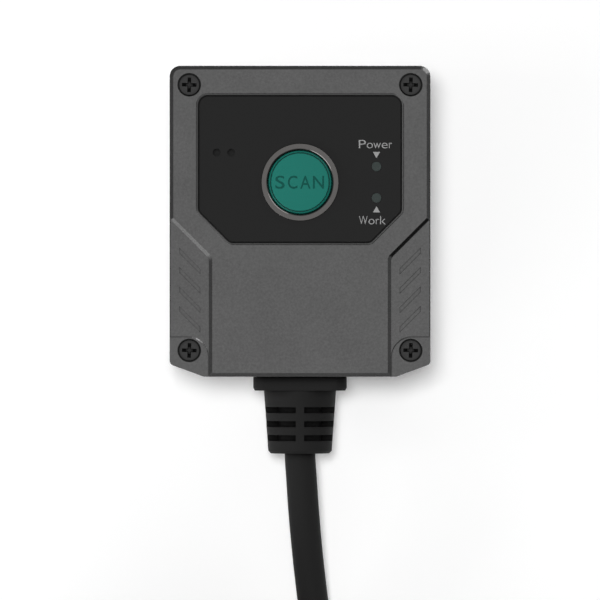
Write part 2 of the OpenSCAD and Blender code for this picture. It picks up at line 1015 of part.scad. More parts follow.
module window_gasket() {
    w = window_w - 2 * fit;
    h = window_h - 2 * fit;
    rim = 2 * window_rim;
    color("Black")
        difference() {
            wall_prism(round_rectangle(w, h, window_r, [0, axis_z]), pane_y0 - gasket_t, pane_y0);
            wall_prism(
                round_rectangle(window_w - rim, window_h - rim, 1, [0, axis_z]),
                pane_y0 - 1,
                pane_y0 + 1
            );
        }
}

// Cable
module boot_groove(y) {
    difference() {
        bar_y(0, axis_z, boot_d + 4, y - groove_w, y);
        bar_y(0, axis_z, groove_floor_d, y - groove_w - 1, y + 1);
        block([-far, far], [y - far, y + far], [axis_z - rib_w / 2, axis_z + rib_w / 2]);
        block([-rib_w / 2, rib_w / 2], [y - far, y + far], [axis_z - far, axis_z + far]);
    }
}

module strain_relief() {
    tip_bevel = 0.5;
    color("Black")
        difference() {
            union() {
                hull() {
                    wall_prism(
                        round_rectangle(flange_w, flange_h, flange_r, [0, axis_z]),
                        flange_y + flange_bevel,
                        -body_l / 2 - flange_gap
                    );
                    wall_prism(
                        round_rectangle(
                            flange_w - flange_bevel, flange_h - flange_bevel, flange_r, [0, axis_z]
                        ),
                        flange_y,
                        flange_y + sliver
                    );
                }
                translate([0, flange_y + 0.2, axis_z])
                    rotate([90, 0, 0])
                        cylinder(d1 = boot_d, d2 = boot_tip_d, h = boot_l + 0.2 - tip_bevel);
                translate([0, exit_y + tip_bevel, axis_z])
                    rotate([90, 0, 0])
                        cylinder(d1 = boot_tip_d, d2 = boot_tip_d - 2 * tip_bevel, h = tip_bevel);
                bar_y(0, axis_z, neck_d, flange_y, inner_y0 + 1);
                bar_y(0, axis_z, neck_d + 2.6, inner_y0 + fit, inner_y0 + 1.6);
            }
            bar_y(0, axis_z, cable_d + 2 * fit, exit_y - 1, 0);
            for (i = [0 : 2])
                boot_groove(flange_y - groove_start - i * groove_pitch);
        }
}

module cable_lead() {
    color("Black")
        tube(lead_route, cable_r, 12);
}

module cable_coil() {
    h = coil_top - strap_t;
    color("Black")
        translate(coil_at)
            rotate_extrude()
                polygon(
                    round_rectangle(coil_band + cable_d, h, cable_r, [coil_r, strap_t + h / 2])
                );
}

module cable_tail() {
    color("Black")
        tube(tail_route, cable_r, 12);
}

module coil_straps() {
    inner = sqrt(pow(coil_in - cable_r, 2) - pow(strap_w / 2, 2)) - fit;
    outer = coil_out + cable_r + fit;
    color("DarkSlateGray")
        for (a = strap_angles)
            translate(coil_at)
                rotate([0, 0, a])
                    difference() {
                        block(
                            [inner - strap_t, outer + strap_t],
                            [-strap_w / 2, strap_w / 2],
                            [0, coil_top + fit + strap_t]
                        );
                        block([inner, outer], [-strap_w, strap_w], [strap_t, coil_top + fit]);
                    }
}

// The plug lies along its own X axis, with the cable's end at its origin.
module plug_place() {
    translate(plug_at + [0, 0, fit])
        rotate([0, 0, plug_turn])
            children();
}

// A solid along X from x0 to x1, with its outline drawn in Y and Z
module plug_prism(pts, x0, x1) {
    translate([x0, 0, 0])
        rotate([90, 0, 90])
            linear_extrude(x1 - x0)
                polygon(pts);
}

module plug_grip() {
    color("Black")
        plug_place() {
            rotate([0, 90, 0])
                cylinder(d1 = cable_d + 1, d2 = grip_h, h = cone_l);
            plug_prism(round_rectangle(grip_w, grip_h, 2), cone_l, cone_l + grip_l);
        }
}

module plug_shell() {
    x0 = cone_l + grip_l;
    color("Silver")
        plug_place()
            difference() {
                plug_prism(round_rectangle(shell_w, shell_h, 0.4), x0, x0 + shell_l);
                plug_prism(rectangle(shell_w - 2 * shell_t, shell_h - 2 * shell_t), x0 - 1, x0 + shell_l + 1);
                for (y = [-2.8, 2.8])
                    translate([x0 + 6, y - 1.1, 0])
                        cube([2.2, 2.2, shell_h]);
            }
}

module plug_tongue() {
    x0 = cone_l + grip_l;
    low = -shell_h / 2 + shell_t;
    color("White")
        plug_place()
            block([x0, x0 + shell_l - 0.8], [-shell_w / 2 + 0.5, shell_w / 2 - 0.5], [low, low + 1.9]);
}

base_case();
top_cover();
case_gasket();
cover_screws();
mount_inserts();
panel_overlay();
button_bezel();
scan_button();
switch_plunger();
switch_body();
button_spring();
power_light_pipe();
work_light_pipe();
power_led();
work_led();
buzzer();
sound_membrane();
main_board();
board_screws();
processor_chip();
memory_chip();
board_header();
harness_plug();
harness_wires();
ribbon_socket();
engine_ribbon();
engine_chassis();
engine_screws();
lens_barrel();
camera_lens();
sensor_board();
image_sensor();
lamp_leds();
lamp_lenses();
aimer_led();
aimer_lens();
reading_window();
window_gasket();
strain_relief();
cable_lead();
cable_coil();
cable_tail();
coil_straps();
plug_grip();
plug_shell();
plug_tongue();
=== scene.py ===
"""Looks of a fixed barcode reader, dressed on its solids: finishes, fine shapes, legends and the cable."""

import json
import math

import bmesh
import bpy
from mathutils import Matrix, Vector


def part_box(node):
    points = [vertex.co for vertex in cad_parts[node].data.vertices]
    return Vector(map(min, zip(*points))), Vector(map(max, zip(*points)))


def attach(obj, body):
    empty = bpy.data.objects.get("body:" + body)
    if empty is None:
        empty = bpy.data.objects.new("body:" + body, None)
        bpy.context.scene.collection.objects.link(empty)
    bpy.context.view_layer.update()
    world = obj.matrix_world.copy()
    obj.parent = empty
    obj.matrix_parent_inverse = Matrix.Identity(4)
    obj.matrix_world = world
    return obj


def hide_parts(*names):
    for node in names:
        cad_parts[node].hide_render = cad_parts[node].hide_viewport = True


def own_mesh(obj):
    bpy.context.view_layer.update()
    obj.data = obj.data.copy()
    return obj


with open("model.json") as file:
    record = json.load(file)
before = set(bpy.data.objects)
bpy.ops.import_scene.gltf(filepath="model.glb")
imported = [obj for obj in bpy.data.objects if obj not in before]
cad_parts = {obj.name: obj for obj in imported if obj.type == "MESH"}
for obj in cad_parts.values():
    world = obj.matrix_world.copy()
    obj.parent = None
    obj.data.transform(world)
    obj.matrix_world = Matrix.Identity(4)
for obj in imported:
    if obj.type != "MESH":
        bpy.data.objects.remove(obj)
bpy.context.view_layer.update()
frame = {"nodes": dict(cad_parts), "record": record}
NODES = frame["nodes"]
MM = 0.001

# Places taken from the solids
cover_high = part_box("top_cover")[1]
panel_low, panel_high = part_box("panel_overlay")
bezel_low, bezel_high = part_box("button_bezel")
cap_low, cap_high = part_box("scan_button")
relief_low, relief_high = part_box("strain_relief")
coil_low, coil_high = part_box("cable_coil")
power_low, power_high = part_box("power_light_pipe")
work_low, work_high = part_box("work_light_pipe")
BUTTON_AT = (bezel_low + bezel_high) / 2
PANEL_TOP = panel_high.z
CABLE_D = 6.2 * MM
CABLE_R = CABLE_D / 2


# Shader groups shared by the finishes


def new_group(name, inputs, outputs):
    """A shader group with its sockets made; inputs are (name, kind, value) and outputs (name, kind)."""
    group = bpy.data.node_groups.new(name, "ShaderNodeTree")
    for socket_name, kind, value in inputs:
        socket = group.interface.new_socket(socket_name, in_out="INPUT", socket_type=kind)
        socket.default_value = value
    for socket_name, kind in outputs:
        group.interface.new_socket(socket_name, in_out="OUTPUT", socket_type=kind)
    source = group.nodes.new("NodeGroupInput")
    sink = group.nodes.new("NodeGroupOutput")
    return group, source.outputs, sink.inputs


def put(tree, kind, settings=None, **links):
    """Adds a node.

    Links name input sockets, or number them as i0, i1 and so on, and give a value or another node's output.
    """
    node = tree.nodes.new(kind)
    for key, value in (settings or {}).items():
        setattr(node, key, value)
    for key, value in links.items():
        place = int(key[1:]) if key[0] == "i" and key[1:].isdigit() else key.replace("_", " ")
        socket = node.inputs[place]
        if isinstance(value, bpy.types.NodeSocket):
            tree.links.new(value, socket)
        else:
            socket.default_value = value
    return node


def math_node(tree, operation, a, b=0.0):
    return put(tree, "ShaderNodeMath", {"operation": operation}, i0=a, i1=b).outputs[0]


def scaled(tree, colour, factor):
    return put(tree, "ShaderNodeVectorMath", {"operation": "SCALE"}, Vector=colour, Scale=factor).outputs[0]


def mixed(tree, share, a, b):
    return put(tree, "ShaderNodeMix", {"data_type": "FLOAT"}, i0=share, i2=a, i3=b).outputs[0]


def dot_product(tree, a, b):
    return put(tree, "ShaderNodeVectorMath", {"operation": "DOT_PRODUCT"}, i0=a, i1=b).outputs["Value"]


def around_one(tree, value, spread):
    """Turns a 0 to 1 value into 1 plus or minus the spread."""
    centred = math_node(tree, "SUBTRACT", value, 0.5)
    doubled = math_node(tree, "MULTIPLY", centred, 2.0)
    return math_node(tree, "ADD", math_node(tree, "MULTIPLY", doubled, spread), 1.0)


def noise(tree, at, scale, detail, roughness):
    return put(
        tree, "ShaderNodeTexNoise", Vector=at, Scale=scale, Detail=detail, Roughness=roughness
    ).outputs["Fac"]


PATCHES_PER_METRE = 110.0
PATCH_SHARE = 0.25


def moulded_grain():
    """Fine even grain of a moulded surface, with faint broad patches from handling."""
    tree, given, result = new_group(
        "moulded_grain",
        [
            ("Colour", "NodeSocketColor", (0.5, 0.5, 0.5, 1)),
            ("Grain Size", "NodeSocketFloat", 0.4 * MM),
            ("Mottle", "NodeSocketFloat", 0.05),
            ("Roughness", "NodeSocketFloat", 0.5),
            ("Roughness Spread", "NodeSocketFloat", 0.1),
        ],
        [
            ("Colour", "NodeSocketColor"),
            ("Roughness", "NodeSocketFloat"),
            ("Height", "NodeSocketFloat"),
        ],
    )
    at = put(tree, "ShaderNodeTexCoord").outputs["Object"]
    per_metre = math_node(tree, "DIVIDE", 1.0, given["Grain Size"])
    grain = noise(tree, at, per_metre, 2.0, 0.6)
    patches = noise(tree, at, PATCHES_PER_METRE, 3.0, 0.55)
    fine = math_node(tree, "MULTIPLY", grain, 1 - PATCH_SHARE)
    both = math_node(tree, "ADD", fine, math_node(tree, "MULTIPLY", patches, PATCH_SHARE))
    tree.links.new(scaled(tree, given["Colour"], around_one(tree, both, given["Mottle"])), result["Colour"])
    wear = around_one(tree, patches, given["Roughness Spread"])
    tree.links.new(math_node(tree, "MULTIPLY", given["Roughness"], wear), result["Roughness"])
    tree.links.new(grain, result["Height"])
    return tree


def drawn_metal():
    """Fine lines along one direction, as on drawn, turned or plated metal."""
    tree, given, result = new_group(
        "drawn_metal",
        [
            ("Colour", "NodeSocketColor", (0.5, 0.5, 0.5, 1)),
            ("Lines", "NodeSocketVector", (200.0, 4000.0, 4000.0)),
            ("Mottle", "NodeSocketFloat", 0.1),
            ("Roughness", "NodeSocketFloat", 0.3),
            ("Roughness Spread", "NodeSocketFloat", 0.2),
        ],
        [
            ("Colour", "NodeSocketColor"),
            ("Roughness", "NodeSocketFloat"),
            ("Height", "NodeSocketFloat"),
        ],
    )
    at = put(tree, "ShaderNodeTexCoord").outputs["Object"]
    stretched = put(tree, "ShaderNodeVectorMath", {"operation": "MULTIPLY"}, i0=at, i1=given["Lines"])
    lines = noise(tree, stretched.outputs[0], 1.0, 3.0, 0.6)
    tree.links.new(scaled(tree, given["Colour"], around_one(tree, lines, given["Mottle"])), result["Colour"])
    wear = around_one(tree, lines, given["Roughness Spread"])
    tree.links.new(math_node(tree, "MULTIPLY", given["Roughness"], wear), result["Roughness"])
    tree.links.new(lines, result["Height"])
    return tree


def crevice_dark():
    """Paints shade into a colour: darker where the surface lies deep in a groove or gap."""
    tree, given, result = new_group(
        "crevice_dark",
        [
            ("Colour", "NodeSocketColor", (0.5, 0.5, 0.5, 1)),
            ("Reach", "NodeSocketFloat", 1.5 * MM),
            ("Depth", "NodeSocketFloat", 1.5),
        ],
        [("Colour", "NodeSocketColor")],
    )
    around = put(tree, "ShaderNodeAmbientOcclusion", {"samples": 8}, Distance=given["Reach"])
    level = math_node(tree, "POWER", around.outputs["AO"], given["Depth"])
    tree.links.new(scaled(tree, given["Colour"], level), result["Colour"])
    return tree


# How far the painted light band reaches up the slope on each side of the panel
LIT_BAND_W = 0.55 * MM
FULL_LIT_BAND_W = 0.75 * MM
LIT_BAND_WIDTHS = (
    ((1, 0, 0), LIT_BAND_W), ((-1, 0, 0), LIT_BAND_W), ((0, 1, 0), LIT_BAND_W), ((0, -1, 0), LIT_BAND_W),
    ((0.7071, -0.7071, 0), LIT_BAND_W), ((-0.7071, -0.7071, 0), FULL_LIT_BAND_W),
)
BELOW_COVER = 0.01 * MM
OVER_PANEL = 0.02 * MM


def recess_edge():
    """Masks of painted light and shade on the slope round the panel: the lit band at its upper edge, and the
    shaded foot below the panel's top.
    """
    tree, given, result = new_group(
        "recess_edge", [], [("Band", "NodeSocketFloat"), ("Foot", "NodeSocketFloat")])
    at = put(tree, "ShaderNodeTexCoord").outputs["Object"]
    height = put(tree, "ShaderNodeSeparateXYZ", Vector=at).outputs["Z"]
    mask = math_node(tree, "LESS_THAN", height, cover_high.z - BELOW_COVER)
    for way, width in LIT_BAND_WIDTHS:
        reach = max(v.co.dot(Vector(way)) for v in NODES["panel_overlay"].data.vertices) + width
        along = dot_product(tree, at, way)
        mask = math_node(tree, "MULTIPLY", mask, math_node(tree, "LESS_THAN", along, reach))
    low = math_node(tree, "LESS_THAN", height, panel_high.z + OVER_PANEL)
    foot = math_node(tree, "MULTIPLY", mask, low)
    tree.links.new(foot, result["Foot"])
    tree.links.new(math_node(tree, "SUBTRACT", mask, foot), result["Band"])
    return tree


MOULDED = moulded_grain()
DRAWN = drawn_metal()
CREVICE_SHADE = crevice_dark()


def grey(level):
    """A grey as linear light, from a display level of 0 to 255."""
    return tone(level, level, level)


def tone(*levels):
    """A colour as linear light, from display levels of 0 to 255."""
    linear = []
    for level in levels:
        c = level / 255
        linear.append(c / 12.92 if c <= 0.04045 else ((c + 0.055) / 1.055) ** 2.4)
    return (*linear, 1)


def make_finish(name, colour, group=MOULDED, relief=0.0, edge=0.0, shade_reach=0.0, shader=None, **values):
    """A material whose colour, roughness and relief come from a shared group.

    Edge is the radius that softens corners, and shade_reach the reach within which painted shade darkens gaps
    and grooves.
    """
    material = bpy.data.materials.new(name)
    material.use_nodes = True
    tree = material.node_tree
    principled = tree.nodes["Principled BSDF"]
    for socket, value in (shader or {}).items():
        principled.inputs[socket].default_value = value
    effect = put(tree, "ShaderNodeGroup", {"node_tree": group}, Colour=colour, **values)
    shade = effect.outputs["Colour"]
    # Painted shade: the colour is darkened where the surface lies deep in a gap or groove.
    if shade_reach:
        darker = put(tree, "ShaderNodeGroup", {"node_tree": CREVICE_SHADE}, Colour=shade, Reach=shade_reach)
        shade = darker.outputs["Colour"]
    tree.links.new(shade, principled.inputs["Base Color"])
    tree.links.new(effect.outputs["Roughness"], principled.inputs["Roughness"])
    bump = put(tree, "ShaderNodeBump", Strength=1.0, Distance=relief, Height=effect.outputs["Height"])
    if edge:
        soft = put(tree, "ShaderNodeBevel", {"samples": 6}, Radius=edge)
        tree.links.new(soft.outputs[0], bump.inputs["Normal"])
    tree.links.new(bump.outputs[0], principled.inputs["Normal"])
    return material


def add_painted_shading(material, mask_group, **colours):
    """Gives a finish a painted, unmetallic colour wherever one of a group's named masks is 1, as painted
    light and shade.
    """
    tree = material.node_tree
    principled = tree.nodes["Principled BSDF"]
    masks = put(tree, "ShaderNodeGroup", {"node_tree": mask_group}).outputs
    shade = principled.inputs["Base Color"].links[0].from_socket
    metal = principled.inputs["Metallic"].default_value
    for name, colour in colours.items():
        mix = put(tree, "ShaderNodeMix", {"data_type": "RGBA"}, i0=masks[name], i6=shade, i7=colour)
        shade = mix.outputs[2]
        metal = math_node(tree, "MULTIPLY", metal, math_node(tree, "SUBTRACT", 1.0, masks[name]))
    tree.links.new(shade, principled.inputs["Base Color"])
    tree.links.new(metal, principled.inputs["Metallic"])


# Painted shade darkens the housing's gaps and wells, such as round the screw heads.
HOUSING = make_finish(
    "housing_grey", grey(94), relief=0.003 * MM, edge=0.07 * MM, shade_reach=0.3 * MM,
    shader={"Metallic": 1.0, "Specular IOR Level": 0.1},
    Grain_Size=0.42 * MM, Mottle=0.38, Roughness=0.21, Roughness_Spread=0.06,
)
# Painted light and shade on the slope round the panel: a lighter band at its upper edge and a dark foot below
# the panel's top.
add_painted_shading(HOUSING, recess_edge(), Band=grey(78), Foot=grey(26))
PANEL_FILM = make_finish(
    "panel_film", grey(31), relief=0.001 * MM, edge=0.05 * MM,
    shader={"Specular IOR Level": 0.1},
    Grain_Size=0.25 * MM, Mottle=0.03, Roughness=0.42, Roughness_Spread=0.08,
)
# Painted shade darkens the button's ring groove and engraved word.
BUTTON_GREEN = make_finish(
    "button_green", tone(20, 105, 94), relief=0.001 * MM, edge=0.04 * MM, shade_reach=0.5 * MM,
    shader={"Specular IOR Level": 0.25},
    Grain_Size=0.3 * MM, Mottle=0.03, Roughness=0.35, Roughness_Spread=0.1,
)
# Painted shade: a darker green for the engraved word's floor and walls.
ENGRAVING_SHADE_GREEN = make_finish(
    "legend_green", tone(26, 84, 76), relief=0.001 * MM,
    shader={"Specular IOR Level": 0.1},
    Grain_Size=0.2 * MM, Mottle=0.05, Roughness=0.6, Roughness_Spread=0.1,
)
BEZEL_METAL = make_finish(
    "bezel_metal", tone(97, 95, 94), DRAWN, relief=0.0004 * MM,
    shader={"Metallic": 1.0},
    Lines=(900, 900, 900), Mottle=0.06, Roughness=0.18, Roughness_Spread=0.15,
)
# Painted shade darkens the screws' cross recesses and the gaps round their heads.
SCREW_BLACK = make_finish(
    "screw_black", grey(56), relief=0.003 * MM, edge=0.06 * MM, shade_reach=0.8 * MM,
    shader={"Metallic": 0.8},
    Grain_Size=0.2 * MM, Mottle=0.15, Roughness=0.38, Roughness_Spread=0.15,
)
# Painted shade darkens grooves and gaps in the rubber, such as the strain relief's grooves.
CABLE_RUBBER = make_finish(
    "cable_rubber", grey(35), relief=0.004 * MM, edge=0.12 * MM, shade_reach=1.6 * MM,
    shader={"Specular IOR Level": 0.06},
    Grain_Size=0.3 * MM, Mottle=0.08, Roughness=0.6, Roughness_Spread=0.12,
)
SEAL_RUBBER = make_finish(
    "seal_rubber", grey(26), relief=0.004 * MM, edge=0.1 * MM,
    shader={"Specular IOR Level": 0.3},
    Grain_Size=0.35 * MM, Mottle=0.1, Roughness=0.7, Roughness_Spread=0.1,
)
BLACK_PLASTIC = make_finish(
    "black_plastic", grey(30), relief=0.005 * MM, edge=0.12 * MM,
    shader={"Specular IOR Level": 0.4},
    Grain_Size=0.3 * MM, Mottle=0.1, Roughness=0.5, Roughness_Spread=0.1,
)
WHITE_PLASTIC = make_finish(
    "white_plastic", tone(226, 224, 214), relief=0.002 * MM, edge=0.08 * MM,
    Grain_Size=0.3 * MM, Mottle=0.03, Roughness=0.45, Roughness_Spread=0.1,
)
SMOKY_PLASTIC = make_finish(
    "smoky_plastic", tone(33, 42, 40), relief=0.001 * MM, edge=0.08 * MM,
    shader={"Specular IOR Level": 0.4},
    Grain_Size=0.5 * MM, Mottle=0.06, Roughness=0.35, Roughness_Spread=0.1,
)
BOARD_GREEN = make_finish(
    "board_green", tone(38, 92, 58), relief=0.004 * MM, edge=0.05 * MM,
    shader={"Coat Weight": 0.3, "Coat Roughness": 0.15},
    Grain_Size=0.8 * MM, Mottle=0.12, Roughness=0.4, Roughness_Spread=0.15,
)
WIRE_RED = make_finish(
    "wire_jacket", tone(168, 52, 44), relief=0.002 * MM,
    Grain_Size=0.4 * MM, Mottle=0.08, Roughness=0.45, Roughness_Spread=0.1,
)
RIBBON_AMBER = make_finish(
    "ribbon_amber", tone(196, 138, 62), DRAWN, relief=0.002 * MM,
    shader={"Coat Weight": 0.4, "Coat Roughness": 0.12},
    Lines=(3000, 120, 120), Mottle=0.12, Roughness=0.35, Roughness_Spread=0.1,
)
BRASS = make_finish(
    "insert_brass", tone(206, 172, 104), DRAWN, relief=0.002 * MM, edge=0.08 * MM,
    shader={"Metallic": 1.0},
    Lines=(1500, 1500, 300), Mottle=0.1, Roughness=0.3, Roughness_Spread=0.2,
)
STEEL = make_finish(
    "plated_steel", grey(196), DRAWN, relief=0.001 * MM, edge=0.06 * MM,
    shader={"Metallic": 1.0},
    Lines=(1200, 250, 1200), Mottle=0.06, Roughness=0.26, Roughness_Spread=0.2,
)
LEGEND_PRINT = make_finish(
    "legend_print", grey(148), relief=0.0005 * MM,
    shader={"Specular IOR Level": 0.2},
    Grain_Size=0.2 * MM, Mottle=0.06, Roughness=0.6, Roughness_Spread=0.1,
)


def make_glass(name, colour, roughness, thin_mottle):
    """Clear or tinted glass with faint smears in its polish."""
    return make_finish(
        name, colour, relief=0.0002 * MM,
        shader={"Transmission Weight": 1.0, "IOR": 1.5},
        Grain_Size=3 * MM, Mottle=thin_mottle, Roughness=roughness, Roughness_Spread=0.5,
    )


def make_weave(name, colour, thread):
    """A plain weave that follows the band's own length and width, with fuzz on its threads."""
    material = make_finish(
        name, colour, relief=0.12 * MM, shader={"Specular IOR Level": 0.2, "Sheen Weight": 0.15},
        Grain_Size=0.12 * MM, Mottle=0.3, Roughness=0.85, Roughness_Spread=0.1,
    )
    tree = material.node_tree
    place = put(tree, "ShaderNodeUVMap", {"uv_map": "weave"}).outputs[0]
    along, across, _ = put(tree, "ShaderNodeSeparateXYZ", i0=place).outputs
    waves = [
        math_node(tree, "SINE", math_node(tree, "MULTIPLY", way, math.pi / thread)) for way in (along, across)
    ]
    over = math_node(tree, "GREATER_THAN", math_node(tree, "MULTIPLY", *waves), 0.0)
    rounds = [math_node(tree, "ABSOLUTE", wave) for wave in waves]
    height = mixed(tree, over, *rounds)
    bump = next(node for node in tree.nodes if node.type == "BUMP")
    tree.links.new(height, bump.inputs["Height"])
    return material


STRAP_WEAVE = make_weave("strap_weave", grey(46), 0.7 * MM)
WINDOW_GLASS = make_glass("window_glass", tone(120, 70, 72), 0.02, 0.03)
LENS_GLASS = make_glass("lens_glass", tone(232, 236, 244), 0.015, 0.02)

SLOT_FINISH = {
    "housing": HOUSING,
    "seal": SEAL_RUBBER,
    "dark_screw": SCREW_BLACK,
    "brass": BRASS,
    "panel": PANEL_FILM,
    "bezel": BEZEL_METAL,
    "button": BUTTON_GREEN,
    "black_plastic": BLACK_PLASTIC,
    "white_plastic": WHITE_PLASTIC,
    "clear_plastic": SMOKY_PLASTIC,
    "steel": STEEL,
    "board": BOARD_GREEN,
    "wire": WIRE_RED,
    "ribbon": RIBBON_AMBER,
    "lens": LENS_GLASS,
    "window": WINDOW_GLASS,
    "cable_rubber": CABLE_RUBBER,
    "strap": STRAP_WEAVE,
}
for part in frame["record"]["subparts"]:
    mesh = NODES[part["node"]].data
    mesh.materials.clear()
    mesh.materials.append(SLOT_FINISH[part["material_slot"]])


# Mesh helpers


def finish_piece(name, mesh, material, body="housing", node=None, sharp=35):
    """Makes a piece from a mesh, smooth up to the sharp angle, and sets what it rides on and stands for."""
    mesh.materials.clear()
    mesh.materials.append(material)
    mesh.shade_smooth()
    mesh.set_sharp_from_angle(angle=math.radians(sharp))
    piece = bpy.data.objects.new(name, mesh)
    bpy.context.scene.collection.objects.link(piece)
    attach(piece, body)
    if node:
        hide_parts(node)
    return piece


def mesh_from(name, shape):
    """Turns a bmesh into a mesh with doubles merged and faces outwards."""
    bmesh.ops.remove_doubles(shape, verts=shape.verts, dist=0.0005 * MM)
    bmesh.ops.recalc_face_normals(shape, faces=shape.faces)
    mesh = bpy.data.meshes.new(name)
    shape.to_mesh(mesh)
    shape.free()
    return mesh


def softened(corners, steps=5):
    """An outline whose corners are rounded; each corner is (across, up, radius)."""
    outline = []
    last = len(corners) - 1
    for i, (x, y, radius) in enumerate(corners):
        here = Vector((x, y))
        if radius == 0 or i in (0, last):
            outline.append(here)
            continue
        back = (Vector(corners[i - 1][:2]) - here).normalized()
        on = (Vector(corners[i + 1][:2]) - here).normalized()
        half = back.angle(on) / 2
        reach = radius / math.tan(half)
        centre = here + (back + on).normalized() * radius / math.sin(half)
        start = here + back * reach - centre
        turn = start.angle_signed(here + on * reach - centre)
        for k in range(steps + 1):
            outline.append(centre + Matrix.Rotation(-turn * k / steps, 2) @ start)
    return outline


def turned(outline, centre, segments=128):
    """A bmesh turned about an upright axis; the outline's points are (radius, height)."""
    shape = bmesh.new()
    rings = []
    for radius, height in outline:
        if radius < 1e-7:
            rings.append([shape.verts.new((centre.x, centre.y, height))] * segments)
            continue
        ring = []
        for k in range(segments):
            a = math.tau * k / segments
            x, y = centre.x + radius * math.cos(a), centre.y + radius * math.sin(a)
            ring.append(shape.verts.new((x, y, height)))
        rings.append(ring)
    skin(shape, rings)
    return shape


def skin(shape, rings):
    """Joins neighbouring closed rings with faces."""
    count = len(rings[0])
    for low, high in zip(rings, rings[1:]):
        for k in range(count):
            corners = (low[k], low[(k + 1) % count], high[(k + 1) % count], high[k])
            face = list(dict.fromkeys(corners))
            if len(face) > 2:
                shape.faces.new(face)


def lofted(sections):
    """A closed bmesh through rings of points, with its two ends capped."""
    shape = bmesh.new()
    rings = [[shape.verts.new(p) for p in ring] for ring in sections]
    skin(shape, rings)
    shape.faces.new(rings[0])
    shape.faces.new(rings[-1])
    return shape


def flat_word(letters, base_y, height, bolder):
    """A bmesh of a flat word on a line at base_y; letters are (letter, left, right) places in plan.

    The first letter is a capital of the given height. Bolder widens the strokes, as a share of the size.
    """
    shape = bmesh.new()
    scale = None
    for letter, left, right in letters:
        curve = bpy.data.curves.new(letter, "FONT")
        curve.body = letter
        curve.offset = bolder
        curve.resolution_u = 6
        source = bpy.data.objects.new(letter, curve)
        bpy.context.scene.collection.objects.link(source)
        mesh = evaluated_mesh(source)
        bpy.data.objects.remove(source)
        low = min(v.co.x for v in mesh.vertices)
        high = max(v.co.x for v in mesh.vertices)
        scale = scale or height / max(v.co.y for v in mesh.vertices)
        for v in mesh.vertices:
            share = (v.co.x - low) / (high - low)
            v.co = (left + share * (right - left), base_y + v.co.y * scale, 0)
        shape.from_mesh(mesh)
    bmesh.ops.remove_doubles(shape, verts=shape.verts, dist=0.002 * MM)
    return shape


def letter_places(text, left, spans):
    """Letters with their places; spans are each letter's start and end from the word's left, in mm."""
    return [(letter, left + a * MM, left + b * MM) for letter, (a, b) in zip(text, spans)]


def raised(shape, bottom, top):
    """Turns a flat bmesh into a slab up to a level; bottom gives the height of its underside at a point."""
    for v in shape.verts:
        v.co.z = bottom(v.co)
    side = bmesh.ops.extrude_face_region(shape, geom=shape.faces[:])
    for item in side["geom"]:
        if isinstance(item, bmesh.types.BMVert):
            item.co.z = top
    return shape


def cut(mesh, tool):
    """The mesh with a tool mesh taken out of it."""
    body, knife = (bpy.data.objects.new(m.name, m) for m in (mesh, tool))
    for thing in (body, knife):
        bpy.context.scene.collection.objects.link(thing)
    knife.hide_render = True
    boolean = body.modifiers.new("cut", "BOOLEAN")
    boolean.operation = "DIFFERENCE"
    boolean.solver = "EXACT"
    boolean.object = knife
    result = evaluated_mesh(body)
    bpy.data.objects.remove(knife)
    bpy.data.objects.remove(body)
    return result


def evaluated_mesh(thing):
    """A plain mesh of an object with its modifiers applied."""
    graph = bpy.context.evaluated_depsgraph_get()
    graph.update()
    return bpy.data.meshes.new_from_object(thing.evaluated_get(graph))


# Geometry nodes for what repeats


def repeat_tree(name, inputs, lay_out):
    """A geometry tree with named inputs; lay_out places the copies, which are then made real and finished."""
    tree = bpy.data.node_groups.new(name, "GeometryNodeTree")
    kinds = [("Places", "NodeSocketGeometry"), *inputs, ("Finish", "NodeSocketMaterial")]
    for socket_name, kind in kinds:
        tree.interface.new_socket(socket_name, in_out="INPUT", socket_type=kind)
    tree.interface.new_socket("Pieces", in_out="OUTPUT", socket_type="NodeSocketGeometry")
    given = tree.nodes.new("NodeGroupInput").outputs
    placed = lay_out(tree, given)
    real = put(tree, "GeometryNodeRealizeInstances", Geometry=placed).outputs[0]
    finished = put(tree, "GeometryNodeSetMaterial", Geometry=real, Material=given["Finish"]).outputs[0]
    tree.links.new(finished, tree.nodes.new("NodeGroupOutput").inputs[0])
    return tree


def repeat_mesh(name, tree, places, values):
    """Runs a geometry tree on a few places and returns the plain mesh."""
    mesh = bpy.data.meshes.new(name)
    mesh.from_pydata([tuple(place) for place in places], [], [])
    carrier = bpy.data.objects.new(name, mesh)
    bpy.context.scene.collection.objects.link(carrier)
    modifier = carrier.modifiers.new("repeat", "NODES")
    modifier.node_group = tree
    for item in tree.interface.items_tree:
        if item.in_out == "INPUT" and item.name in values:
            modifier[item.identifier] = values[item.name]
    result = evaluated_mesh(carrier)
    carrier.modifiers.remove(modifier)
    bpy.data.objects.remove(carrier)
    return result


def turned_copies(tree, given):
    """A copy of one piece at every place, turned about the upright axis."""
    piece = put(tree, "GeometryNodeObjectInfo", Object=given["Piece"]).outputs["Geometry"]
    turn = put(tree, "ShaderNodeCombineXYZ", Z=given["Turn"]).outputs[0]
    return put(
        tree, "GeometryNodeInstanceOnPoints", Points=given["Places"], Instance=piece, Rotation=turn
    ).outputs[0]


def row_of_copies(tree, given):
    """A row of copies of one piece, at every place."""
    piece = put(tree, "GeometryNodeObjectInfo", Object=given["Piece"]).outputs["Geometry"]
    row = put(tree, "GeometryNodeMeshLine", Count=given["Count"], Offset=given["Step"]).outputs[0]
    bars = put(tree, "GeometryNodeInstanceOnPoints", Points=row, Instance=piece).outputs[0]
    return put(tree, "GeometryNodeInstanceOnPoints", Points=given["Places"], Instance=bars).outputs[0]


COPIES = repeat_tree(
    "turned_copies", [("Piece", "NodeSocketObject"), ("Turn", "NodeSocketFloat")], turned_copies
)
ROWS = repeat_tree(
    "row_of_copies",
    [("Piece", "NodeSocketObject"), ("Count", "NodeSocketInt"), ("Step", "NodeSocketVector")],
    row_of_copies,
)


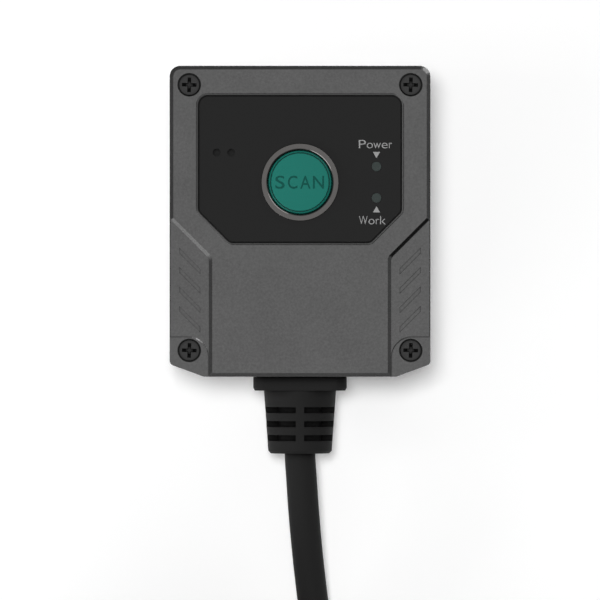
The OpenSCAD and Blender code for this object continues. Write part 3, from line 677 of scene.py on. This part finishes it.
def pattern_piece(name, mesh):
    """An object that only lends its mesh to a geometry tree."""
    thing = bpy.data.objects.new(name, mesh)
    bpy.context.scene.collection.objects.link(thing)
    return thing


# Cover screws: cross-head screws with a domed head and a ridged shank
SCREW_HEAD_R = 2.15 * MM
SCREW_HEAD_H = 1.6 * MM
SCREW_LENGTH = 9 * MM
SHANK_R = 1.25 * MM
THREAD_PITCH = 0.45 * MM
CROSS_ARM = 3 * MM
CROSS_W = 0.72 * MM
CROSS_DEEP = 1.0 * MM
SCREW_TURN = math.radians(-2)


def quarter_tops(node):
    """The place of the top of each of a node's four pieces, one in each quarter of the cover."""
    tops = []
    for side in (-1, 1):
        for end in (-1, 1):
            points = [v.co for v in NODES[node].data.vertices if v.co.x * side > 0 and v.co.y * end > 0]
            low = [min(p[k] for p in points) for k in range(3)]
            high = [max(p[k] for p in points) for k in range(3)]
            tops.append(Vector(((low[0] + high[0]) / 2, (low[1] + high[1]) / 2, high[2])))
    return tops


def cross_arm(along):
    """One tapering arm of the driver's cross, with its top a little over the head."""
    sections = []
    for depth, length, width in (
        (-0.2 * MM, CROSS_ARM, CROSS_W),
        (0.25 * MM, CROSS_ARM * 0.96, CROSS_W * 0.95),
        (CROSS_DEEP, CROSS_ARM * 0.45, CROSS_W * 0.7),
    ):
        x, y = (length / 2, width / 2) if along else (width / 2, length / 2)
        sections.append([(-x, -y, -depth), (x, -y, -depth), (x, y, -depth), (-x, y, -depth)])
    return mesh_from("cross_arm", lofted(sections))


screw_corners = [
    (0, 0, 0),
    (SCREW_HEAD_R * 0.6, -0.03 * MM, 0),
    (SCREW_HEAD_R, -0.1 * MM, 0.2 * MM),
    (SCREW_HEAD_R, -SCREW_HEAD_H, 0.1 * MM),
    (SHANK_R, -SCREW_HEAD_H, 0),
]
depth = -SCREW_HEAD_H - THREAD_PITCH
while depth > -SCREW_HEAD_H - SCREW_LENGTH + THREAD_PITCH:
    screw_corners += [(SHANK_R, depth, 0), (SHANK_R * 0.84, depth - THREAD_PITCH / 2, 0)]
    depth -= THREAD_PITCH
screw_corners += [(0, -SCREW_HEAD_H - SCREW_LENGTH, 0)]
screw_mesh = mesh_from("cover_screw", turned(softened(screw_corners), Vector((0, 0, 0)), segments=48))
for along in (True, False):
    screw_mesh = cut(screw_mesh, cross_arm(along))
screw_pattern = pattern_piece("cover_screw_pattern", screw_mesh)
screw_values = {"Piece": screw_pattern, "Turn": SCREW_TURN, "Finish": SCREW_BLACK}
screws_mesh = repeat_mesh("cross_screws", COPIES, quarter_tops("cover_screws"), screw_values)
bpy.data.objects.remove(screw_pattern)
finish_piece("cross_screws", screws_mesh, SCREW_BLACK, "housing", "cover_screws")

# Button: a crowned cap with a ring groove and an engraved word
BUTTON_R = 6.3 * MM
CROWN = 0.25 * MM
CAP_TOP = cap_high.z
LIP_R = (cap_high.x - cap_low.x) / 2
LIP_TOP = cap_low.z + 0.9 * MM
FACE_R = 5.72 * MM
STEP_H = 0.12 * MM
RIM_SLOPE = 0.25 * MM
GROOVE_R = 5.86 * MM
GROOVE_DEEP = 0.2 * MM
STEM_R = 1.5 * MM
STEM_LOW = cap_low.z + 0.4 * MM
HOLLOW_R = 5.3 * MM
HOLLOW_TOP = CAP_TOP - 1.5 * MM
LEGEND_W = 9.7 * MM
LEGEND_H = 2.55 * MM
LEGEND_DEPTH = 0.25 * MM


def crown_height(r):
    """Height of the cap's crowned face at a radius."""
    return CAP_TOP - CROWN * (r / FACE_R) ** 2


def crown_below(place):
    """Height of the engraved word's floor under a point of the cap's face."""
    return crown_height((place.xy - BUTTON_AT.xy).length) - LEGEND_DEPTH


rim = CAP_TOP - CROWN - STEP_H
cap_outline = softened(
    [
        (0, STEM_LOW, 0),
        (STEM_R, STEM_LOW, 0.1 * MM),
        (STEM_R, HOLLOW_TOP, 0.2 * MM),
        (HOLLOW_R, HOLLOW_TOP, 0.2 * MM),
        (HOLLOW_R, cap_low.z, 0.1 * MM),
        (LIP_R, cap_low.z, 0.1 * MM),
        (LIP_R, LIP_TOP, 0.1 * MM),
        (BUTTON_R, LIP_TOP, 0.1 * MM),
        (BUTTON_R, rim - RIM_SLOPE, 0.12 * MM),
        (GROOVE_R + 0.11 * MM, rim, 0.04 * MM),
        (GROOVE_R + 0.06 * MM, rim - GROOVE_DEEP, 0.02 * MM),
        (GROOVE_R - 0.06 * MM, rim - GROOVE_DEEP, 0.02 * MM),
        (FACE_R, crown_height(FACE_R), 0.08 * MM),
        (FACE_R * 0.9, crown_height(FACE_R * 0.9), 0),
    ]
)
for share in (0.75, 0.55, 0.35, 0.15, 0):
    cap_outline.append(Vector((FACE_R * share, crown_height(FACE_R * share))))
cap_mesh = mesh_from("scan_cap", turned(cap_outline, BUTTON_AT))
word = letter_places("SCAN", BUTTON_AT.x, [(-4.9, -3.05), (-2.4, -0.5), (0.05, 2.1), (2.6, 4.8)])
word = flat_word(word, BUTTON_AT.y - LEGEND_H / 2, LEGEND_H, 0.006)
word = raised(word, crown_below, CAP_TOP + 1 * MM)
cap_mesh = cut(cap_mesh, mesh_from("scan_word", word))
finish_piece("scan_cap", cap_mesh, BUTTON_GREEN, "button", "scan_button", sharp=28)
# The engraved word's faces take the darker green, as painted shade in the engraving.
cap_mesh.materials.append(ENGRAVING_SHADE_GREEN)
for face in cap_mesh.polygons:
    from_middle = (face.center.xy - BUTTON_AT.xy).length
    below_face = crown_height(from_middle) - face.center.z
    in_word = 0.02 * MM < below_face < LEGEND_DEPTH * 1.2 and from_middle < LEGEND_W * 0.55
    face.material_index = int(in_word)

# Return spring under the cap's rim: a round wire that shortens as the button goes down
SPRING_WIRE_R = 0.245 * MM
SPRING_TURNS = 2.5
SPRING_R = (HOLLOW_R + LIP_R) / 2
spring_low, spring_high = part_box("button_spring")


def spring_sections(per_turn=40, around=12):
    """Rings of points round the spring's rising wire."""
    start = Vector((BUTTON_AT.x, BUTTON_AT.y, spring_low.z + SPRING_WIRE_R))
    rise = spring_high.z - spring_low.z - 2 * SPRING_WIRE_R
    steps = round(SPRING_TURNS * per_turn)
    sections = []
    for i in range(steps + 1):
        a = math.tau * SPRING_TURNS * i / steps
        out = Vector((math.cos(a), math.sin(a), 0))
        slope = rise / (math.tau * SPRING_TURNS * SPRING_R)
        along = Vector((-math.sin(a), math.cos(a), slope)).normalized()
        up = out.cross(along)
        middle = start + out * SPRING_R + Vector((0, 0, rise * i / steps))
        turns = [math.tau * k / around for k in range(around)]
        sections.append([middle + SPRING_WIRE_R * (math.cos(b) * out + math.sin(b) * up) for b in turns])
    return sections


spring_mesh = mesh_from("button_coil", lofted(spring_sections()))
button_coil = finish_piece("button_coil", spring_mesh, STEEL, "housing", "button_spring", sharp=50)
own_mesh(button_coil)

# Bezel: a turned ring with a flat top and rounded lips
BEZEL_BORE_R = 6.6 * MM
BEZEL_TUBE_R = 7.15 * MM
BEZEL_R = (bezel_high.x - bezel_low.x) / 2
bezel_outline = softened(
    [
        (BEZEL_BORE_R, bezel_low.z, 0),
        (BEZEL_TUBE_R, bezel_low.z, 0.05 * MM),
        (BEZEL_TUBE_R, panel_low.z, 0.02 * MM),
        (BEZEL_R, panel_low.z, 0.02 * MM),
        (BEZEL_R, bezel_high.z - 0.08 * MM, 0.04 * MM),
        (BEZEL_R - 0.08 * MM, bezel_high.z, 0.04 * MM),
        (BEZEL_BORE_R + 0.15 * MM, bezel_high.z, 0.03 * MM),
        (BEZEL_BORE_R, bezel_high.z - 0.11 * MM, 0.03 * MM),
        (BEZEL_BORE_R, bezel_low.z, 0),
    ]
)
bezel_mesh = mesh_from("bezel_ring", turned(bezel_outline, BUTTON_AT))
finish_piece("bezel_ring", bezel_mesh, BEZEL_METAL, "housing", "button_bezel", sharp=50)

# Printed legends beside the indicator windows
PRINT_T = 0.02 * MM
PIPE_X = (power_low.x + power_high.x) / 2
POWER_Y = (power_low.y + power_high.y) / 2
WORK_Y = (work_low.y + work_high.y) / 2
ARROW_W = 1.45 * MM
ARROW_H = 1.22 * MM
ARROW_GAP = 1.68 * MM
WORD_H = 1.66 * MM
WORD_LEFT = PIPE_X - 3.6 * MM
WORD_GAP = 3.62 * MM


def print_legend(name, shape):
    slab = raised(shape, lambda place: PANEL_TOP, PANEL_TOP + PRINT_T)
    finish_piece(name, mesh_from(name, slab), LEGEND_PRINT)


def arrow(tip_y, way):
    """A flat triangle whose tip points at an indicator window; way is 1 to point up and -1 to point down."""
    shape = bmesh.new()
    base_y = tip_y - way * ARROW_H
    places = ((PIPE_X, tip_y), (PIPE_X - ARROW_W / 2, base_y), (PIPE_X + ARROW_W / 2, base_y))
    shape.faces.new([shape.verts.new((x, y, 0)) for x, y in places])
    return shape


print_legend("power_arrow", arrow(POWER_Y + ARROW_GAP, -1))
print_legend("work_arrow", arrow(WORK_Y - ARROW_GAP, 1))
power_places = letter_places(
    "Power", WORD_LEFT, [(0.07, 1.5), (1.68, 2.87), (3.0, 4.45), (4.63, 5.81), (6.07, 6.68)])
print_legend("power_word", flat_word(power_places, POWER_Y + WORD_GAP, WORD_H, -0.008))
work_places = letter_places("Work", WORD_LEFT, [(0.12, 1.8), (2.02, 3.2), (3.46, 4.06), (4.31, 5.43)])
print_legend("work_word", flat_word(work_places, WORK_Y - WORD_GAP - WORD_H, WORD_H, -0.008))


# The cable: out of the boot, down to the ground, round the coil and up to the plug
EXIT = Vector((0, relief_low.y, (relief_low.z + relief_high.z) / 2))
LEAD_Z = coil_low.z + CABLE_R
LAYERS = 4
LAYER_RISE = (coil_high.z - coil_low.z - CABLE_D) / (LAYERS - 1)
COIL_AT = (coil_low + coil_high) / 2
COIL_OUT = (coil_high.x - coil_low.x) / 2 - CABLE_R
COIL_IN = COIL_OUT - 10 * MM
TURNS_A_LAYER = 1.628
CLIMB_TURNS = 0.19
TOP_LAYER_Z = LEAD_Z + (LAYERS - 1) * LAYER_RISE
# Sideways, lengthways from the boot's tip, and the share of the drop still to come
LEAD_POINTS = (
    (0, 20, 1), (0, 10, 1), (0, 0, 1), (0.3, -5, 0.99), (0.7, -11, 0.93), (1.2, -17, 0.79), (1.8, -23, 0.58),
    (2.5, -29, 0.36), (3.2, -35, 0.18), (3.9, -42, 0.07), (4.5, -50, 0.01), (4.9, -60, 0), (5, -70.2, 0),
)
# From the coil's centre, and the height over the top layer, for a coil and a cable of these sizes
TAIL_COIL_R = 35
TAIL_CABLE_D = 6
TAIL_POINTS = (
    (30.3, -17.5, 0), (26.5, -22.5, 1.6), (21.5, -26.3, 4.2), (15.7, -28.7, 6), (9.5, -29.5, 6.2),
    (3.3, -28.7, 6.2), (-2.4, -26.7, 6.7), (-7.07, -23.3, 7), (-9, -21, 7),
)


def smooth_step(t):
    return t * t * (3 - 2 * t)


def coil_point(r, angle, z):
    """A point at a radius and angle about the coil's axis."""
    return Vector((COIL_AT.x + r * math.cos(angle), COIL_AT.y + r * math.sin(angle), z))


def coil_points(per_turn=60):
    """The winding, clockwise from its rightmost point: each layer runs in or out, then climbs to the next."""
    points = []
    wound = 0.0
    for layer in range(LAYERS):
        start, end = (COIL_OUT, COIL_IN) if layer % 2 == 0 else (COIL_IN, COIL_OUT)
        z = LEAD_Z + layer * LAYER_RISE
        steps = round(TURNS_A_LAYER * per_turn)
        for i in range(steps + 1):
            t = i / steps
            angle = -math.tau * (wound + TURNS_A_LAYER * t)
            points.append(coil_point(start + (end - start) * t, angle, z))
        wound += TURNS_A_LAYER
        if layer < LAYERS - 1:
            steps = round(CLIMB_TURNS * per_turn)
            for i in range(1, steps):
                t = i / steps
                angle = -math.tau * (wound + CLIMB_TURNS * t)
                points.append(coil_point(end, angle, z + LAYER_RISE * smooth_step(t)))
            wound += CLIMB_TURNS
    return points


def smooth_route(points, per_span=6):
    """A smooth curve through the points."""
    route = []
    last = len(points) - 1
    for i in range(last):
        before, a, b, after = (points[max(min(k, last), 0)] for k in (i - 1, i, i + 1, i + 2))
        for step in range(per_span):
            t = step / per_span
            route.append(
                0.5 * (2 * a + (b - before) * t + (2 * before - 5 * a + 4 * b - after) * t**2
                       + (3 * a - before - 3 * b + after) * t**3)
            )
    route.append(points[last])
    return route


lead = [
    Vector((x * MM, EXIT.y + y * MM, LEAD_Z + drop * (EXIT.z - LEAD_Z))) for x, y, drop in LEAD_POINTS
]
TAIL_SCALE = COIL_OUT / TAIL_COIL_R
TAIL_LIFT = CABLE_D / TAIL_CABLE_D
tail = [
    Vector((COIL_AT.x + x * TAIL_SCALE, COIL_AT.y + y * TAIL_SCALE, TOP_LAYER_Z + z * TAIL_LIFT))
    for x, y, z in TAIL_POINTS
]
cable_route = smooth_route(lead)[:-1] + coil_points()[:-1] + smooth_route(tail)

cable_curve = bpy.data.curves.new("data_cable", "CURVE")
cable_curve.dimensions = "3D"
cable_curve.bevel_depth = CABLE_R
cable_curve.bevel_resolution = 8
cable_curve.use_fill_caps = True
spline = cable_curve.splines.new("POLY")
spline.points.add(len(cable_route) - 1)
for point, place in zip(spline.points, cable_route):
    point.co = (*place, 1)
cable_curve.materials.append(CABLE_RUBBER)
data_cable = bpy.data.objects.new("data_cable", cable_curve)
bpy.context.scene.collection.objects.link(data_cable)
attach(data_cable, "housing")
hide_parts("cable_lead", "cable_coil", "cable_tail")

# Straps: woven bands round the coil, each with its end lapped over on the outside
STRAP_W = 10 * MM
STRAP_T = 0.5 * MM
STRAP_ANGLES = (55, 130)
LAP_TOP = 17 * MM
LAP_END = 6 * MM
strap_in = COIL_IN - CABLE_R - STRAP_T / 2
strap_out = COIL_OUT + CABLE_R + STRAP_T / 2
strap_over = strap_out + STRAP_T * 1.1
strap_low = coil_low.z - STRAP_T / 2
strap_high = coil_high.z + STRAP_T / 2
corner_r = CABLE_R + STRAP_T / 2
strap_path = softened(
    [
        (strap_out, LAP_TOP, 0),
        (strap_out, strap_low, corner_r),
        (strap_in, strap_low, corner_r),
        (strap_in, strap_high, corner_r),
        (strap_over, strap_high, corner_r),
        (strap_over, LAP_END, 0),
    ],
    steps=8,
)


def strap_mesh(name, angle, across=6):
    """A band that follows the coil's section, with its length and width as its UV map, in metres."""
    shape = bmesh.new()
    uv = shape.loops.layers.uv.new("weave")
    rows = []
    run = 0.0
    for i, (r, z) in enumerate(strap_path):
        if i:
            run += (strap_path[i] - strap_path[i - 1]).length
        row = []
        for k in range(across + 1):
            offset = STRAP_W * (k / across - 0.5)
            place = coil_point(r, math.radians(angle) + offset / r, z)
            row.append((shape.verts.new(place), (run, offset)))
        rows.append(row)
    for low, high in zip(rows, rows[1:]):
        for k in range(across):
            corners = (low[k], low[k + 1], high[k + 1], high[k])
            face = shape.faces.new([vert for vert, _ in corners])
            for loop, (_, place) in zip(face.loops, corners):
                loop[uv].uv = place
    mesh = bpy.data.meshes.new(name)
    shape.to_mesh(mesh)
    shape.free()
    return mesh


for number, angle in enumerate(STRAP_ANGLES, 1):
    name = f"coil_strap_{number}"
    band = strap_mesh(name, angle)
    strap = finish_piece(name, band, STRAP_WEAVE, "housing", "coil_straps", sharp=60)
    thick = strap.modifiers.new("thickness", "SOLIDIFY")
    thick.thickness = STRAP_T
    thick.offset = 0

# Plug: a moulded grip with a ringed neck and finger ridges, a metal shell and a tongue with contacts
PLUG_TURN = math.radians(130)
PLUG_PLACE = Matrix.Translation(tail[-1] + Vector((0, 0, 0.05 * MM))) @ Matrix.Rotation(PLUG_TURN, 4, "Z")
NECK_L = 9 * MM
GRIP_L = 22 * MM
GRIP_W = 15.6 * MM
GRIP_H = 8 * MM
GRIP_R = 2 * MM
NECK_D = 7 * MM
NECK_RINGS = 3
NECK_PITCH = 2.3 * MM
NECK_RING_DEEP = 0.55 * MM
NECK_RINGS_FROM = 1.6 * MM
SHOULDER = 3 * MM


def oval_ring(x, width, height, radius, per_corner=8):
    """A rounded rectangle across the plug at x."""
    ring = []
    for corner in range(4):
        side = (1, -1, -1, 1)[corner], (1, 1, -1, -1)[corner]
        centre = side[0] * (width / 2 - radius), side[1] * (height / 2 - radius)
        for k in range(per_corner + 1):
            a = math.pi / 2 * (corner + k / per_corner)
            y, z = centre[0] + radius * math.cos(a), centre[1] + radius * math.sin(a)
            ring.append(Vector((x, y, z)))
    return ring


def neck_sections():
    """The round neck, which widens towards the grip and has rings cut into it."""
    sections = [(0, NECK_D * 0.94), (0.25 * MM, NECK_D)]
    for i in range(NECK_RINGS):
        x = NECK_RINGS_FROM + i * NECK_PITCH
        d = NECK_D + (GRIP_H - NECK_D) * x / NECK_L
        cut_d = d - 2 * NECK_RING_DEEP
        sections += [(x, d), (x + 0.08 * MM, cut_d), (x + 0.9 * MM, cut_d), (x + 0.98 * MM, d)]
    sections.append((NECK_L - 0.3 * MM, GRIP_H))
    return [oval_ring(x, d, d, d / 2) for x, d in sections]


def grip_sections():
    """The grip, which grows out of the neck over a rounded shoulder."""
    sections = []
    for k in range(1, 9):
        t = k / 8
        swell = math.sin(t * math.pi / 2)
        width = GRIP_H + (GRIP_W - GRIP_H) * swell
        radius = GRIP_H / 2 + (GRIP_R - GRIP_H / 2) * t
        x = NECK_L + SHOULDER * (1 - math.cos(t * math.pi / 2))
        sections.append(oval_ring(x, width, GRIP_H, radius))
    end = NECK_L + GRIP_L
    for back, inset in ((0.8, 0), (0.3, 0.12), (0.05, 0.4), (0, 0.55)):
        inset *= MM
        sections.append(oval_ring(end - back * MM, GRIP_W - 2 * inset, GRIP_H - 2 * inset, GRIP_R - inset))
    return sections


grip_mesh = mesh_from("plug_body", lofted(neck_sections() + grip_sections()))
grip_mesh.transform(PLUG_PLACE)
plug_body = finish_piece("plug_body", grip_mesh, BLACK_PLASTIC, "housing", "plug_grip")

RIDGE_L = 9.5 * MM
RIDGE_W = 0.9 * MM
RIDGE_H = 0.3 * MM
RIDGE_COUNT = 6
RIDGE_STEP = 1.9 * MM
RIDGES_FROM = NECK_L + 7 * MM


def ridge_mesh():
    """A low rounded ridge that lies across the grip."""
    sections = []
    for share, size in ((-1, 0.3), (-0.97, 0.8), (-0.9, 1), (0.9, 1), (0.97, 0.8), (1, 0.3)):
        ring = []
        for k in range(12):
            a = math.tau * k / 12
            ring.append((RIDGE_W / 2 * size * math.cos(a), RIDGE_L / 2 * share, RIDGE_H * size * math.sin(a)))
        sections.append(ring)
    return mesh_from("grip_ridge", lofted(sections))


ridge = pattern_piece("ridge_pattern", ridge_mesh())
ridge_rows = [Vector((RIDGES_FROM, 0, side * GRIP_H / 2)) for side in (1, -1)]
ridge_values = {"Piece": ridge, "Count": RIDGE_COUNT, "Step": (RIDGE_STEP, 0, 0), "Finish": BLACK_PLASTIC}
ridges_mesh = repeat_mesh("grip_ridges", ROWS, ridge_rows, ridge_values)
bpy.data.objects.remove(ridge)
ridges_mesh.transform(PLUG_PLACE)
grip_ridges = finish_piece("grip_ridges", ridges_mesh, BLACK_PLASTIC, "housing", None)

CONTACT_L = 7 * MM
CONTACT_W = 1.1 * MM
CONTACT_T = 0.12 * MM
CONTACT_STEP = 2.3 * MM
CONTACTS = 4
SHELL_H = 4.5 * MM
SHELL_T = 0.3 * MM
TONGUE_T = 1.9 * MM


def contact_mesh():
    """A flat contact strip with a rounded nose."""
    sections = []
    for x, drop in ((0, 0), (0.9, 0), (0.97, 0.25), (1, 0.7)):
        z = CONTACT_T * (1 - drop)
        y = CONTACT_W / 2 * (1 - drop * 0.3)
        sections.append([(CONTACT_L * x, *corner) for corner in ((-y, 0), (y, 0), (y, z), (-y, z))])
    return mesh_from("contact_strip", lofted(sections))


contact = pattern_piece("contact_pattern", contact_mesh())
contact_row = [Vector((
    NECK_L + GRIP_L + 2.5 * MM, -CONTACT_STEP * (CONTACTS - 1) / 2, -SHELL_H / 2 + SHELL_T + TONGUE_T
))]
contact_step = (0, CONTACT_STEP, 0)
contact_values = {"Piece": contact, "Count": CONTACTS, "Step": contact_step, "Finish": BRASS}
contacts_mesh = repeat_mesh("plug_contacts", ROWS, contact_row, contact_values)
bpy.data.objects.remove(contact)
contacts_mesh.transform(PLUG_PLACE)
plug_contacts = finish_piece("plug_contacts", contacts_mesh, BRASS, "housing", None)


# Floor, light and camera
FLOOR_SIZE = 60.0
FLOOR_GLOW = 0.25
SOFT_LIGHT = 0.13
SIDE_LIGHT = 0.8
BACKDROP_TO = 0.08
RING_LIGHT = 0.33
SOUTH_LIGHT = 0.07
OVERHEAD_LIGHT = 1.0
OVERHEAD_FROM = 0.4
OVERHEAD_FULL = 0.52
SIDE_RISE = 0.41
CORNER_LIGHT = 1.25
CARD_WAY = (0.618, -0.618, 0.485)
CARD_REACH = math.radians(10)
CARD_FADE = math.radians(18)


def make_floor():
    mesh = bpy.data.meshes.new("floor")
    half = FLOOR_SIZE / 2
    corners = [(-half, -half, 0), (half, -half, 0), (half, half, 0), (-half, half, 0)]
    mesh.from_pydata(corners, [], [(0, 1, 2, 3)])
    floor = bpy.data.objects.new("floor", mesh)
    bpy.context.scene.collection.objects.link(floor)
    material = bpy.data.materials.new("floor_white")
    material.use_nodes = True
    tree = material.node_tree
    principled = tree.nodes["Principled BSDF"]
    principled.inputs["Base Color"].default_value = (0.8, 0.8, 0.8, 1)
    principled.inputs["Roughness"].default_value = 0.9
    principled.inputs["Specular IOR Level"].default_value = 0.0
    rays = put(tree, "ShaderNodeLightPath").outputs
    seen = math_node(tree, "MAXIMUM", rays["Is Camera Ray"], rays["Is Glossy Ray"])
    seen = math_node(tree, "MAXIMUM", seen, rays["Is Transmission Ray"])
    principled.inputs["Emission Color"].default_value = (1, 1, 1, 1)
    tree.links.new(math_node(tree, "MULTIPLY", seen, FLOOR_GLOW), principled.inputs["Emission Strength"])
    mesh.materials.append(material)


def area_light(name, at, towards, size, power):
    data = bpy.data.lights.new(name, "AREA")
    data.shape = "RECTANGLE"
    data.size, data.size_y = size
    data.energy = power
    light = bpy.data.objects.new(name, data)
    light.location = at
    light.rotation_euler = (Vector(towards) - Vector(at)).to_track_quat("-Z", "Y").to_euler()
    light.visible_camera = False
    bpy.context.scene.collection.objects.link(light)
    return light


def eased(tree, value, start, end, low, high):
    """Goes softly from low to high as the value goes from start to end."""
    return put(
        tree, "ShaderNodeMapRange", {"interpolation_type": "SMOOTHSTEP"}, Value=value,
        From_Min=start, From_Max=end, To_Min=low, To_Max=high,
    ).outputs[0]


def studio_light(tree):
    """Soft light, fuller on the left, seen by the camera as white and by glossy surfaces as a studio.

    The studio is white overhead and at the backdrop, with a dim ring between them. The ring rises at the left
    and right and is fuller at two opposite corners, and a black card hangs in it at the lower right.
    """
    way = put(tree, "ShaderNodeTexCoord").outputs["Generated"]
    x, y, z = put(tree, "ShaderNodeSeparateXYZ", i0=way).outputs
    squares = [math_node(tree, "MULTIPLY", part, part) for part in (x, y)]
    sideways = math_node(tree, "MAXIMUM", math_node(tree, "SUBTRACT", *squares), 0.0)
    height = math_node(tree, "SUBTRACT", z, math_node(tree, "MULTIPLY", sideways, SIDE_RISE))
    upward = eased(tree, height, OVERHEAD_FROM, OVERHEAD_FULL, RING_LIGHT, OVERHEAD_LIGHT)
    diagonal = math_node(tree, "MULTIPLY", x, y)
    corners = math_node(tree, "MULTIPLY", math_node(tree, "MAXIMUM", diagonal, 0.0), CORNER_LIGHT)
    sides = math_node(tree, "SUBTRACT", corners, math_node(tree, "MULTIPLY", y, SOUTH_LIGHT))
    backdrop = eased(tree, z, 0.0, BACKDROP_TO, 1.0, 0.0)
    studio = math_node(tree, "MAXIMUM", math_node(tree, "ADD", upward, sides), backdrop)
    towards = dot_product(tree, way, CARD_WAY)
    beside_card = eased(tree, towards, math.cos(CARD_FADE), math.cos(CARD_REACH), 1.0, 0.0)
    studio = math_node(tree, "MULTIPLY", studio, beside_card)
    rays = put(tree, "ShaderNodeLightPath").outputs
    gloss = math_node(tree, "MAXIMUM", rays["Is Glossy Ray"], rays["Is Transmission Ray"])
    fill = math_node(tree, "SUBTRACT", SOFT_LIGHT, math_node(tree, "MULTIPLY", x, SOFT_LIGHT * SIDE_LIGHT))
    level = math_node(tree, "MAXIMUM", mixed(tree, gloss, fill, studio), rays["Is Camera Ray"])
    background = tree.nodes["Background"]
    background.inputs["Color"].default_value = (1, 1, 1, 1)
    tree.links.new(level, background.inputs["Strength"])


make_floor()
world = bpy.data.worlds.new("studio")
world.use_nodes = True
studio_light(world.node_tree)
bpy.context.scene.world = world
key = area_light("key", (-0.14, 0.2, 2.6), (0, 0, 0), (0.52, 0.52), 50)
key.visible_glossy = False
side = area_light("west_fill", (-1.8, -0.1, 0.36), (0, 0, 0.01), (0.5, 0.5), 9)
side.visible_glossy = False
area_light("south_west_strip", (-1.2, -1.2, 0.6), (0, 0, 0.02), (1.5, 0.4), 6.5)
area_light("north_east_strip", (1.2, 1.2, 0.6), (0, 0, 0.02), (1.5, 0.4), 5)

VIEW_WIDTH = 119.6 * MM
VIEW_AT = (0.0, -15.7 * MM)
VIEW_HEIGHT = 1.5
SENSOR_W = 36
camera_data = bpy.data.cameras.new("camera")
camera_data.sensor_width = SENSOR_W
camera_data.lens = SENSOR_W * VIEW_HEIGHT / VIEW_WIDTH
camera = bpy.data.objects.new("camera", camera_data)
camera.location = (*VIEW_AT, cover_high.z + VIEW_HEIGHT)
bpy.context.scene.collection.objects.link(camera)
bpy.context.scene.camera = camera
bpy.context.scene.view_settings.view_transform = "Standard"
